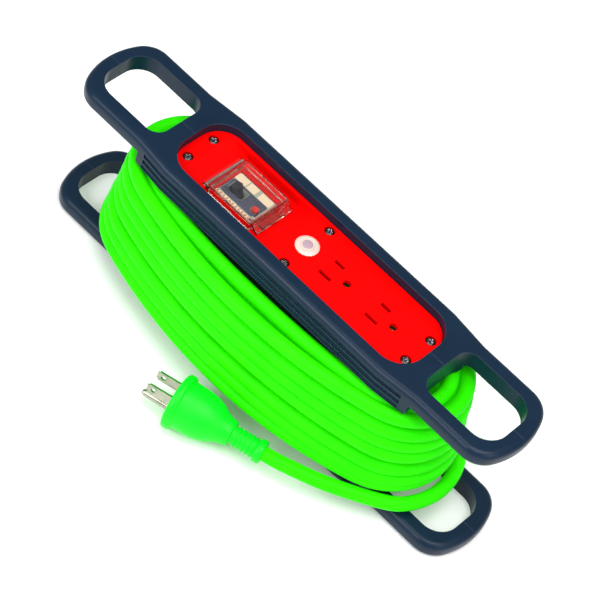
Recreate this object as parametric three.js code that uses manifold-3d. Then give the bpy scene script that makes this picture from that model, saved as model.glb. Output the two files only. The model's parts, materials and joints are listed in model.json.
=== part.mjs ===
// Hand-carry cord reel: two long frames with a carrying loop at each end, joined by a hollow core that holds
// the cord. The front frame carries the outlet panel with an earth-leakage breaker, a pilot lamp and two
// grounded outlets. Millimetres, +Z up. The reel lies on its rear frame; the origin is on the floor under its
// middle. X runs along the frames, towards the outlets. Y runs across, and the plug lies on the -Y side.
import * as THREE from 'three';
import { mergeVertices } from 'three/addons/utils/BufferGeometryUtils.js';
import Module from 'manifold-3d';

const wasm = await Module();
wasm.setup();

// ---- Driving dimensions -------------------------------------------------------------------------------
const GAP = 0.3; // clearance between two touching pieces
const WALL = 2.8; // wall of the mouldings

// Frames
const FRAME_LENGTH = 339; // over the two carrying loops
const FRAME_HALF_WIDTH = 33.5; // beside the panel
const LOOP_HALF_WIDTH = 30.6; // outside of a carrying loop
const REEL_HEIGHT = 111; // over both frames
const BODY_THICKNESS = 20.6; // frame beside the panel
const LOOP_THICKNESS = 12; // frame at a carrying loop
const BODY_HALF_LENGTH = 109.5; // where the thick part of a frame ends
const EDGE_ROUND = 4; // rounding of the outer edges
const END_BOW_RADIUS = 50; // slight curve of a frame's end
const END_CORNER_RADIUS = 17;
const WAIST_START = 86; // the frame narrows between these two
const WAIST_END = 112;

// Carrying loops
const GRIP_INNER = 106.5; // edge of the opening next to the panel
const GRIP_OUTER = 159.4; // edge of the opening at the frame's end
const GRIP_HALF_WIDTH = 20.6;
const GRIP_INNER_RADIUS = 9;
const GRIP_OUTER_RADIUS = 14;

// Grooves along the side walls
const GROOVE_COUNT = 3;
const GROOVE_HALF_LENGTH = 104;
const GROOVE_HEIGHT = 3.2;
const GROOVE_PITCH = 4.7;
const GROOVE_TOP = 5.2; // from the front face to the first groove
const GROOVE_DEPTH = 1.3;

// Core
const CORE_HALF_LENGTH = 101;
const CORE_HALF_WIDTH = 25;
const CORE_END_RADIUS = 20.5;

// Panel
const PANEL_HALF_LENGTH = 95;
const PANEL_HALF_WIDTH = 24.2;
const PANEL_CORNER_RADIUS = 17;
const PANEL_THICKNESS = 3;
const PANEL_DEPTH = 6; // from the frame's front face down to the panel
const LEDGE = 5; // width of the ledge that the panel sits on
const SCOOP_DEPTH = 6; // the sunk area round the breaker
const SCOOP_START = -83;
const SCOOP_END = -13;
const SCOOP_RAMP = 11;
const SCOOP_SIDE = 2.4; // the panel stays at full height this far in from its long edges

// Fasteners
const SCREW_HEAD_RADIUS = 3;
const SCREW_HEAD_HEIGHT = 1.9;
const SCREW_SHANK_RADIUS = 1.5;
const SCREW_LENGTH = 12; // under the head
const BOSS_RADIUS = 4;
const END_SCREW_X = 88.5;
const END_SCREW_Y = 10.7;
const MIDDLE_SCREW_Y = 19.2;
const CASE_SCREW_X = 84;
const CASE_SCREW_LENGTH = 24;

// Outlets
const OUTLET_X = [20, 57]; // the middle of each outlet's two blade slots
const BLADE_SPACING = 12.7;
const GROUND_OFFSET = 11.9;
const NEUTRAL_SLOT_LENGTH = 9.2;
const LINE_SLOT_LENGTH = 7.2;
const SLOT_WIDTH = 2.3;
const GROUND_HOLE_RADIUS = 2.6;
const OUTLET_BLOCK_DEPTH = 15;
const OUTLET_BLOCK_HALF_WIDTH = 15;
const BUS_THICKNESS = 0.8;
const BUS_CHANNEL_WIDTH = 5;

// Breaker and its cover
const BREAKER_X = -49;
const BREAKER_LENGTH = 44;
const BREAKER_WIDTH = 34;
const BREAKER_DEPTH = 32;
const BREAKER_NOSE_LENGTH = 30;
const BREAKER_NOSE_WIDTH = 23;
const LEVER_X = -55.5;
const LEVER_WIDTH = 7;
const LEVER_PIVOT_DEPTH = 5; // pivot below the breaker's face
const LEVER_HEIGHT = 3.6; // above the breaker's face
const LEVER_TILT = THREE.MathUtils.degToRad(18);
const TEST_BUTTON_X = -39.5;
const TEST_BUTTON_Y = -2;
const TEST_BUTTON_RADIUS = 2.4;
const TEST_BUTTON_RISE = 1.2;
const TEST_BUTTON_LENGTH = 6;
const COVER_START = -66.5;
const COVER_END = -31;
const COVER_HALF_WIDTH = 16.2;
const COVER_HEIGHT = 5.9;
const COVER_WALL = 1.2;
const COVER_TAB_REACH = 5;
const HINGE_PIN_RADIUS = 0.9;
const HINGE_KNUCKLE_RADIUS = 2;
const HINGE_X = -69;

// Pilot lamp
const LAMP_X = -0.5;
const LAMP_RADIUS = 7.4;
const LAMP_RISE = 1.6;
const LAMP_BARREL_RADIUS = 5.6;
const LAMP_BARREL_DEPTH = 16;

// Cord
const CORD_DIAMETER = 9;
const WINDING_HALF_LENGTH = 133; // over the outside of the turns, half way between the frames
const WINDING_HALF_WIDTH = 56.5;
const WINDING_END_RADIUS = 42;
const WINDING_TAPER = 0.07; // how much wider the turns lie at the rear frame, and narrower at the front one
const CORD_EXIT_X = 20; // where the cord passes through the core's near wall
const CORD_EXIT_DEPTH = 39; // from the front face down to it
const CORD_EXIT_ANGLE = 30; // degrees between the cord and the wall
const CORD_INSIDE = 36; // jacketed length inside the wall
const BUSH_LENGTH = 20;
const CLAMP_REACH = 27.5; // from the wall to the clamp, along the cord
const CLAMP_WIDTH = 7;
const CLAMP_THICKNESS = 4;
const LEAD_DIAMETER = 2.8;

// Plug: it lies beside the winding, its axis a little above the floor
const PLUG_FLANGE_RADIUS = 17.5;
const PLUG_LENGTH = 60;
const PLUG_FACE = new THREE.Vector3(-2.7, -80.9, PLUG_FLANGE_RADIUS + 0.1);
const PLUG_HEADING = THREE.MathUtils.degToRad(15.1); // the direction from the blades back to the cord
const PLUG_ROLL = THREE.MathUtils.degToRad(260); // the ground pin is underneath
const BLADE_LENGTH = 17;
const BLADE_WIDTH = 6.3;
const BLADE_THICKNESS = 1.5;
const BLADE_HOLE_RADIUS = 1.6;
const GROUND_PIN_LENGTH = 20;
const GROUND_PIN_RADIUS = 2.4;

// ---- Sizes worked out from them -------------------------------------------------------------------------
const HALF_LENGTH = FRAME_LENGTH / 2;
const FRONT = REEL_HEIGHT;
const FRONT_FLANGE = REEL_HEIGHT - BODY_THICKNESS;
const REAR_FLANGE = BODY_THICKNESS;
const PANEL_TOP = FRONT - PANEL_DEPTH;
const CORD_EXIT_Z = FRONT - CORD_EXIT_DEPTH;
const PANEL_UNDER = PANEL_TOP - PANEL_THICKNESS;
const SCOOP_FLOOR = PANEL_TOP - SCOOP_DEPTH;
const SCOOP_UNDER = SCOOP_FLOOR - PANEL_THICKNESS;
const SEAT = PANEL_UNDER - GAP;
const CORE_CAVITY_LENGTH = CORE_HALF_LENGTH - WALL;
const CORE_CAVITY_WIDTH = CORE_HALF_WIDTH - WALL;
const HOLE_CLEARANCE = SCREW_SHANK_RADIUS + GAP;
const HEAD_RECESS = SCREW_HEAD_RADIUS + 0.4;
const HEAD_SEAT = PANEL_TOP - SCREW_HEAD_HEIGHT - 0.2;
const PANEL_SCREWS = [
  [-END_SCREW_X, END_SCREW_Y], [-END_SCREW_X, -END_SCREW_Y],
  [LAMP_X, MIDDLE_SCREW_Y], [LAMP_X, -MIDDLE_SCREW_Y],
  [END_SCREW_X, END_SCREW_Y], [END_SCREW_X, -END_SCREW_Y],
];
const CASE_SCREW_HEIGHTS = [BODY_THICKNESS + 10, FRONT_FLANGE - 14];
const CASE_SCREWS = [-CASE_SCREW_X, CASE_SCREW_X].flatMap((x) => CASE_SCREW_HEIGHTS.map((z) => [x, z]));
const CASE_HEAD_Y = -17;
const BREAKER_FACE = SCOOP_FLOOR - 0.8;
const BREAKER_SHOULDER = SCOOP_UNDER - GAP;
const COVER_BASE = SCOOP_FLOOR + GAP;
const COVER_TOP = SCOOP_FLOOR + COVER_HEIGHT;
const HINGE_Z = SCOOP_FLOOR + HINGE_KNUCKLE_RADIUS + GAP;
const BLOCK_TOP = PANEL_UNDER - GAP;
const BLOCK_START = OUTLET_X[0] - 9;
const BLOCK_END = OUTLET_X[1] + GROUND_OFFSET + 11;

const BLOCK_SCREWS = [BLOCK_START + 4, BLOCK_END - 3.5];
const BUS_LEAD_OFFSET = -5.4; // from a bus's first slot to the hole that its lead comes up through
const BUS_ROWS = [
  { name: 'neutral_bus', y: -BLADE_SPACING / 2, slots: OUTLET_X },
  { name: 'earth_bus', y: 0, slots: OUTLET_X.map((x) => x + GROUND_OFFSET) },
  { name: 'line_bus', y: BLADE_SPACING / 2, slots: OUTLET_X },
];
const BUSH_RADIUS = CORD_DIAMETER / 2 + 2.5;
const CLAMP_SCREW_OFFSETS = [-(CORD_DIAMETER / 2 + 5), CORD_DIAMETER / 2 + 5];
const UNDER_CLAMP = CORD_EXIT_Z + CLAMP_SCREW_OFFSETS[0] - 4; // underside of the lower clamp pillar
const TERMINAL_INSET = SCREW_HEAD_RADIUS - 0.4; // from the breaker's end to a terminal's axis
const TERMINAL_ROOM = SCREW_HEAD_RADIUS + 0.4;

// ---- Finishes -------------------------------------------------------------------------------------------
const finish = (color, roughness, metalness = 0) => new THREE.MeshStandardMaterial({ color, roughness, metalness });
const FINISH = {
  frame: finish('#1f3a52', 0.42),
  panel: finish('#f20d0a', 0.38),
  blackSteel: finish('#1a1a1c', 0.35, 0.8),
  zincSteel: finish('#b9bcc0', 0.35, 1),
  breaker: finish('#b8cbbf', 0.5),
  lever: finish('#33415a', 0.45),
  testButton: finish('#d03a34', 0.45),
  clear: finish('#e8ded2', 0.1),
  lamp: finish('#ffe4dc', 0.25),
  insulator: finish('#2b2b2b', 0.6),
  brass: finish('#b5924c', 0.35, 1),
  cord: finish('#3cff00', 0.5),
  plug: finish('#00e81c', 0.45),
  nickel: finish('#b4b0a4', 0.25, 1),
  black: finish('#141414', 0.6),
  white: finish('#e6e6e0', 0.6),
  earthGreen: finish('#1f8a3a', 0.6),
};

// ---- Geometry helpers -----------------------------------------------------------------------------------
// A closed three.js geometry as a solid that can be joined and cut.
function solid(geometry) {
  const bare = geometry.index ? geometry.toNonIndexed() : geometry.clone();
  bare.deleteAttribute('normal');
  bare.deleteAttribute('uv');
  const merged = mergeVertices(bare, 1e-4);
  return new wasm.Manifold(new wasm.Mesh({
    numProp: 3,
    vertProperties: new Float32Array(merged.attributes.position.array),
    triVerts: new Uint32Array(merged.index.array),
  }));
}

function geometryOf(manifold) {
  const mesh = manifold.getMesh();
  const geometry = new THREE.BufferGeometry();
  geometry.setAttribute('position', new THREE.BufferAttribute(new Float32Array(mesh.vertProperties), 3));
  geometry.setIndex(new THREE.BufferAttribute(new Uint32Array(mesh.triVerts), 1));
  geometry.computeVertexNormals();
  return geometry;
}

const union = (...parts) => parts.reduce((whole, part) => whole.add(part));
const cut = (body, ...tools) => tools.reduce((whole, tool) => whole.subtract(tool), body);

// A shape drawn in XY, raised from one height to another, with rounded outer edges where asked.
function slabGeometry(shape, from, to, { round = 0, steps = 2, curve = 5 } = {}) {
  const points = shape.getPoints(curve).filter((p, i, all) => p.distanceTo(all[(i + 1) % all.length]) > 1e-3);
  const geometry = new THREE.ExtrudeGeometry(new THREE.Shape(points), {
    depth: to - from - 2 * round,
    bevelEnabled: round > 0,
    bevelThickness: round,
    bevelSize: round,
    bevelOffset: -round,
    bevelSegments: steps,
  });
  return geometry.translate(0, 0, from + round);
}

const slab = (...options) => solid(slabGeometry(...options));

function roundedRectangle(halfLength, halfWidth, radius, centre = [0, 0]) {
  const [cx, cy] = centre;
  const shape = new THREE.Shape();
  shape.absarc(cx + halfLength - radius, cy + halfWidth - radius, radius, 0, Math.PI / 2);
  shape.absarc(cx - halfLength + radius, cy + halfWidth - radius, radius, Math.PI / 2, Math.PI);
  shape.absarc(cx - halfLength + radius, cy - halfWidth + radius, radius, Math.PI, 1.5 * Math.PI);
  shape.absarc(cx + halfLength - radius, cy - halfWidth + radius, radius, 1.5 * Math.PI, 2 * Math.PI);
  return shape;
}

function box(x0, x1, y0, y1, z0, z1) {
  const geometry = new THREE.BoxGeometry(x1 - x0, y1 - y0, z1 - z0);
  return solid(geometry.translate((x0 + x1) / 2, (y0 + y1) / 2, (z0 + z1) / 2));
}

// An upright cylinder, or one along Y.
function rod(radius, x, y, from, to, { along = 'z', sides = 12, top = radius } = {}) {
  const geometry = new THREE.CylinderGeometry(top, radius, to - from, sides);
  if (along === 'z') {
    geometry.rotateX(Math.PI / 2).translate(x, y, (from + to) / 2);
  } else {
    geometry.translate(x, (from + to) / 2, y);
  }
  return solid(geometry);
}

// A profile of [x, z] points, stretched across Y.
function across(points, halfWidth, middle = 0) {
  const shape = new THREE.Shape(points.map(([x, z]) => new THREE.Vector2(x, z)));
  const geometry = new THREE.ExtrudeGeometry(shape, { depth: 2 * halfWidth, bevelEnabled: false });
  return solid(geometry.rotateX(Math.PI / 2).translate(0, halfWidth + middle, 0));
}

const reel = new THREE.Group();

function addPiece(name, shape, material, parent = reel) {
  const mesh = new THREE.Mesh(shape.isBufferGeometry ? shape : geometryOf(shape), material);
  mesh.name = name;
  parent.add(mesh);
  return mesh;
}

// ---- Frames and core ------------------------------------------------------------------------------------
// One quarter's corner arc meets the bowed end smoothly; the other quarters mirror it.
function frameOutline(inset = 0) {
  const bow = END_BOW_RADIUS - inset;
  const corner = END_CORNER_RADIUS - inset;
  const width = LOOP_HALF_WIDTH - inset;
  const waist = FRAME_HALF_WIDTH - inset;
  const meet = Math.asin((width - corner) / (bow - corner));
  const bowCentre = HALF_LENGTH - inset - bow;
  const cornerX = bowCentre + (bow - corner) * Math.cos(meet);
  const cornerY = width - corner;
  const shape = new THREE.Shape();
  shape.moveTo(-WAIST_START, -waist);
  shape.lineTo(WAIST_START, -waist);
  shape.lineTo(WAIST_END, -width);
  shape.absarc(cornerX, -cornerY, corner, -Math.PI / 2, -meet);
  shape.absarc(bowCentre, 0, bow, -meet, meet);
  shape.absarc(cornerX, cornerY, corner, meet, Math.PI / 2);
  shape.lineTo(WAIST_END, width);
  shape.lineTo(WAIST_START, waist);
  shape.lineTo(-WAIST_START, waist);
  shape.lineTo(-WAIST_END, width);
  shape.absarc(-cornerX, cornerY, corner, Math.PI / 2, Math.PI - meet);
  shape.absarc(-bowCentre, 0, bow, Math.PI - meet, Math.PI + meet);
  shape.absarc(-cornerX, -cornerY, corner, Math.PI + meet, 1.5 * Math.PI);
  shape.lineTo(-WAIST_END, -width);
  return shape;
}

function gripOutline(side) {
  const shape = new THREE.Shape();
  const w = GRIP_HALF_WIDTH;
  const [ri, ro] = [GRIP_INNER_RADIUS, GRIP_OUTER_RADIUS];
  shape.absarc(GRIP_OUTER - ro, w - ro, ro, 0, Math.PI / 2);
  shape.absarc(GRIP_INNER + ri, w - ri, ri, Math.PI / 2, Math.PI);
  shape.absarc(GRIP_INNER + ri, -w + ri, ri, Math.PI, 1.5 * Math.PI);
  shape.absarc(GRIP_OUTER - ro, -w + ro, ro, 1.5 * Math.PI, 2 * Math.PI);
  if (side > 0) return shape;
  return new THREE.Shape(shape.getPoints(6).map((p) => new THREE.Vector2(-p.x, p.y)).reverse());
}

// A frame as it stands at the front; the rear one is its mirror image.
function frontFrame() {
  const fine = { round: EDGE_ROUND, steps: 4, curve: 8 };
  const loops = slab(frameOutline(), FRONT - LOOP_THICKNESS, FRONT, fine);
  const block = roundedRectangle(BODY_HALF_LENGTH, FRAME_HALF_WIDTH + 12, 6);
  const thick = slab(frameOutline(), FRONT_FLANGE, FRONT, fine)
    .intersect(slab(block, FRONT_FLANGE, FRONT + EDGE_ROUND, { round: EDGE_ROUND, steps: 2, curve: 2 }));
  const grips = [1, -1].map((side) => slab(gripOutline(side), FRONT_FLANGE - 1, FRONT + 1, { curve: 8 }));
  const inner = slab(frameOutline(GROOVE_DEPTH), 0, REEL_HEIGHT);
  const grooves = Array.from({ length: GROOVE_COUNT }, (_, i) => {
    const top = FRONT - GROOVE_TOP - i * GROOVE_PITCH;
    const half = FRAME_HALF_WIDTH + 2;
    return cut(box(-GROOVE_HALF_LENGTH, GROOVE_HALF_LENGTH, -half, half, top - GROOVE_HEIGHT, top), inner);
  });
  return cut(union(loops, thick), ...grips, ...grooves);
}

function panelProfile(under, lift = 0) {
  const raise = under ? -PANEL_THICKNESS : 0;
  const high = PANEL_TOP + raise + lift;
  const low = SCOOP_FLOOR + raise + lift;
  const shift = under ? PANEL_THICKNESS / 2 : 0;
  return [
    [SCOOP_START - shift, high], [SCOOP_START + SCOOP_RAMP - shift, low],
    [SCOOP_END - SCOOP_RAMP + shift, low], [SCOOP_END + shift, high],
  ];
}

// The pocket that the panel drops into, down to its ledge, and the way through to the core.
function panelPocket() {
  const outline = roundedRectangle(PANEL_HALF_LENGTH + GAP, PANEL_HALF_WIDTH + GAP, PANEL_CORNER_RADIUS + GAP);
  const reach = PANEL_HALF_LENGTH + 5;
  const floor = [
    [-reach, SEAT], ...panelProfile(true, -GAP), [reach, SEAT], [reach, FRONT + 1], [-reach, FRONT + 1],
  ];
  const pocket = slab(outline, SCOOP_UNDER - 2, FRONT + 1).intersect(across(floor, PANEL_HALF_WIDTH + 5));
  const halfLength = END_SCREW_X - BOSS_RADIUS;
  const halfWidth = PANEL_HALF_WIDTH - LEDGE;
  const wellOutline = roundedRectangle(halfLength, halfWidth, PANEL_CORNER_RADIUS - LEDGE);
  const well = slab(wellOutline, FRONT_FLANGE - WALL, SEAT + 1);
  const bosses = [1, -1].map((side) => {
    const wall = side * (PANEL_HALF_WIDTH + 1);
    const edge = side * (MIDDLE_SCREW_Y - BOSS_RADIUS);
    const [near, far] = [Math.min(wall, edge), Math.max(wall, edge)];
    return box(LAMP_X - BOSS_RADIUS, LAMP_X + BOSS_RADIUS, near, far, FRONT_FLANGE - WALL - 1, SEAT + 2);
  });
  return union(pocket, cut(well, ...bosses));
}

function wholeCase() {
  const front = frontFrame();
  const rear = front.mirror([0, 0, 1]).translate([0, 0, REEL_HEIGHT]);
  const coreOutline = roundedRectangle(CORE_HALF_LENGTH, CORE_HALF_WIDTH, CORE_END_RADIUS);
  const core = slab(coreOutline, REAR_FLANGE - WALL, FRONT_FLANGE + WALL);
  const cavityOutline = roundedRectangle(CORE_CAVITY_LENGTH, CORE_CAVITY_WIDTH, CORE_END_RADIUS - WALL);
  const cavity = slab(cavityOutline, WALL, FRONT_FLANGE - WALL / 2);
  const screwPosts = CASE_SCREWS.map(([x, z]) => rod(BOSS_RADIUS + 0.6, x, z, -CORE_CAVITY_WIDTH - 1,
    CORE_CAVITY_WIDTH + 1, { along: 'y', sides: 10 }).intersect(slab(coreOutline, 0, REEL_HEIGHT)));
  const clampPillars = CLAMP_SCREW_OFFSETS.map((rise) => alongCord(box(CLAMP_REACH - 4, CLAMP_REACH + 4, -40,
    CORD_DIAMETER / 2 - GAP, rise - 4, rise + 4)).intersect(slab(coreOutline, 0, REEL_HEIGHT)));
  const clampBores = CLAMP_SCREW_OFFSETS.map((rise) => alongCord(rod(HOLE_CLEARANCE, CLAMP_REACH, rise, -7,
    CORD_DIAMETER, { along: 'y', sides: 8 })));
  const screwBores = CASE_SCREWS.flatMap(([x, z]) => [
    rod(SCREW_HEAD_RADIUS + 0.5, x, z, -CORE_HALF_WIDTH - 2, CASE_HEAD_Y, { along: 'y' }),
    rod(HOLE_CLEARANCE, x, z, CASE_HEAD_Y - 1, CASE_HEAD_Y + CASE_SCREW_LENGTH + 1, { along: 'y', sides: 8 }),
  ]);
  const panelBores = PANEL_SCREWS.map(([x, y]) => rod(HOLE_CLEARANCE, x, y, HEAD_SEAT - SCREW_LENGTH - 1, FRONT,
    { sides: 8 }));
  const hollow = cut(cavity, ...screwPosts, ...clampPillars);
  const bores = [...screwBores, ...panelBores, ...clampBores, cordBore(BUSH_RADIUS + GAP, -25, BUSH_LENGTH)];
  return cut(union(front, rear, core), hollow, panelPocket(), ...bores);
}

function buildCase() {
  const whole = wholeCase();
  const reach = HALF_LENGTH + 5;
  const wide = FRAME_HALF_WIDTH + 5;
  const near = whole.intersect(box(-reach, reach, -wide, -GAP / 2, -5, REEL_HEIGHT + 5));
  const far = whole.intersect(box(-reach, reach, GAP / 2, wide, -5, REEL_HEIGHT + 5));
  addPiece('case_half_near', near, FINISH.frame);
  addPiece('case_half_far', far, FINISH.frame);
}

// ---- Screws ---------------------------------------------------------------------------------------------
// A pan-head screw pointing down, its head's seat at the given height, with a cross recess in its head.
function screw(length, sides = 8) {
  const headPoints = [
    [0, 0], [SCREW_HEAD_RADIUS, 0], [SCREW_HEAD_RADIUS, SCREW_HEAD_HEIGHT * 0.5],
    [SCREW_HEAD_RADIUS * 0.7, SCREW_HEAD_HEIGHT * 0.9], [0, SCREW_HEAD_HEIGHT],
  ].map(([r, z]) => new THREE.Vector2(r, z));
  const head = solid(new THREE.LatheGeometry(headPoints, sides).rotateX(Math.PI / 2));
  const shank = rod(SCREW_SHANK_RADIUS, 0, 0, -length, 0.2, { sides: 6 });
  const slot = [SCREW_HEAD_RADIUS * 0.55, 0.45];
  const cross = union(
    box(-slot[0], slot[0], -slot[1], slot[1], SCREW_HEAD_HEIGHT * 0.45, SCREW_HEAD_HEIGHT + 1),
    box(-slot[1], slot[1], -slot[0], slot[0], SCREW_HEAD_HEIGHT * 0.45, SCREW_HEAD_HEIGHT + 1),
  );
  return cut(union(head, shank), cross);
}

function buildScrews() {
  const panelScrew = screw(SCREW_LENGTH, 14);
  PANEL_SCREWS.forEach(([x, y], i) => {
    addPiece(`panel_screw_${i + 1}`, panelScrew, FINISH.blackSteel).position.set(x, y, HEAD_SEAT);
  });
  const caseScrew = screw(CASE_SCREW_LENGTH);
  CASE_SCREWS.forEach(([x, z], i) => {
    const mesh = addPiece(`case_screw_${i + 1}`, caseScrew, FINISH.zincSteel);
    mesh.rotation.x = Math.PI / 2; // the head looks towards the near side
    mesh.position.set(x, CASE_HEAD_Y - 0.2, z);
  });
}

// ---- Outlet panel ---------------------------------------------------------------------------------------
function slotTools(from, to, grow = 0) {
  return OUTLET_X.flatMap((x) => [
    box(x - NEUTRAL_SLOT_LENGTH / 2 - grow, x + NEUTRAL_SLOT_LENGTH / 2 + grow,
      -BLADE_SPACING / 2 - SLOT_WIDTH / 2 - grow, -BLADE_SPACING / 2 + SLOT_WIDTH / 2 + grow, from, to),
    box(x - LINE_SLOT_LENGTH / 2 - grow, x + LINE_SLOT_LENGTH / 2 + grow,
      BLADE_SPACING / 2 - SLOT_WIDTH / 2 - grow, BLADE_SPACING / 2 + SLOT_WIDTH / 2 + grow, from, to),
    rod(GROUND_HOLE_RADIUS + grow, x + GROUND_OFFSET, 0, from, to, { sides: 16 }),
  ]);
}

function buildPanel() {
  const end = PANEL_HALF_LENGTH + 5;
  const profile = [
    [-end, PANEL_UNDER], ...panelProfile(true), [end, PANEL_UNDER], [end, PANEL_TOP], [-end, PANEL_TOP],
  ];
  const outline = roundedRectangle(PANEL_HALF_LENGTH, PANEL_HALF_WIDTH, PANEL_CORNER_RADIUS);
  const blank = slab(outline, SCOOP_UNDER - 1, FRONT, { curve: 8 })
    .intersect(across(profile, PANEL_HALF_WIDTH + 5));
  const scoopProfile = [...panelProfile(false), [SCOOP_END, FRONT], [SCOOP_START, FRONT]];
  const scoop = across(scoopProfile, PANEL_HALF_WIDTH - SCOOP_SIDE);
  const plate = cut(blank, scoop);
  const screwHoles = PANEL_SCREWS.flatMap(([x, y]) => [
    rod(HOLE_CLEARANCE, x, y, SCOOP_UNDER, FRONT, { sides: 12 }),
    rod(HEAD_RECESS, x, y, HEAD_SEAT - 0.2, FRONT),
  ]);
  const window = box(BREAKER_X - BREAKER_NOSE_LENGTH / 2 - GAP, BREAKER_X + BREAKER_NOSE_LENGTH / 2 + GAP,
    -BREAKER_NOSE_WIDTH / 2 - GAP, BREAKER_NOSE_WIDTH / 2 + GAP, SCOOP_UNDER - 1, FRONT);
  const lampHole = rod(LAMP_BARREL_RADIUS + GAP, LAMP_X, 0, PANEL_UNDER - 1, FRONT, { sides: 24 });
  const holdDown = BLOCK_SCREWS.map((x) => rod(SCREW_SHANK_RADIUS + GAP, x, 0, PANEL_UNDER - 1, PANEL_UNDER + 2.2,
    { sides: 12 }));
  const ears = [1, -1].map((side) => {
    const inner = side * (COVER_HALF_WIDTH + 0.6);
    const outer = side * (COVER_HALF_WIDTH + 2.6);
    return cut(
      box(HINGE_X - HINGE_KNUCKLE_RADIUS, HINGE_X + HINGE_KNUCKLE_RADIUS, Math.min(inner, outer),
        Math.max(inner, outer), SCOOP_FLOOR - 0.5, HINGE_Z + HINGE_KNUCKLE_RADIUS),
      rod(HINGE_PIN_RADIUS + GAP, HINGE_X, HINGE_Z, -COVER_HALF_WIDTH - 5, COVER_HALF_WIDTH + 5,
        { along: 'y', sides: 12 }),
    );
  });
  const body = union(plate, ...ears);
  addPiece('outlet_panel', cut(body, ...screwHoles, window, lampHole, ...slotTools(PANEL_UNDER - 1, FRONT),
    ...holdDown), FINISH.panel);
}

// ---- Outlet block and its contacts ----------------------------------------------------------------------

function buildOutletBlock() {
  const outline = roundedRectangle((BLOCK_END - BLOCK_START) / 2, OUTLET_BLOCK_HALF_WIDTH, 2,
    [(BLOCK_START + BLOCK_END) / 2, 0]);
  const base = BLOCK_TOP - OUTLET_BLOCK_DEPTH;
  const channels = BUS_ROWS.map(({ y, slots }) => box(slots[0] - 8, slots[1] + 5.4, y - BUS_CHANNEL_WIDTH / 2,
    y + BUS_CHANNEL_WIDTH / 2, base + 2, BLOCK_TOP + 1));
  const bores = BLOCK_SCREWS.map((x) => rod(HOLE_CLEARANCE, x, 0, base - 1, BLOCK_TOP + 1, { sides: 8 }));
  const leadHoles = BUS_ROWS.map(({ y, slots }) => rod(LEAD_DIAMETER / 2 + GAP, slots[0] + BUS_LEAD_OFFSET, y,
    base - 1, base + 3, { sides: 8 }));
  addPiece('outlet_block', cut(slab(outline, base, BLOCK_TOP, { curve: 2 }), ...channels, ...bores, ...leadHoles),
    FINISH.insulator);
  BUS_ROWS.forEach(({ name, y, slots }) => {
    const floor = base + 2 + GAP;
    const half = BUS_CHANNEL_WIDTH / 2 - GAP;
    const strip = box(slots[0] - 7, slots[1] + 4.6, y - half, y + half, floor, floor + BUS_THICKNESS);
    const leaves = slots.flatMap((x) => [1, -1].map((side) => {
      const outer = y + side * half;
      const inner = outer - side * BUS_THICKNESS;
      return box(x - 3.4, x + 3.4, Math.min(inner, outer), Math.max(inner, outer), floor, BLOCK_TOP - 1.5);
    }));
    addPiece(name, union(strip, ...leaves), FINISH.brass);
  });
  const holdScrew = screw(OUTLET_BLOCK_DEPTH + 1.6);
  BLOCK_SCREWS.forEach((x, i) => {
    const mesh = addPiece(`block_screw_${i + 1}`, holdScrew, FINISH.zincSteel);
    mesh.rotation.x = Math.PI; // driven up from below
    mesh.position.set(x, 0, base - GAP);
  });
}

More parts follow.
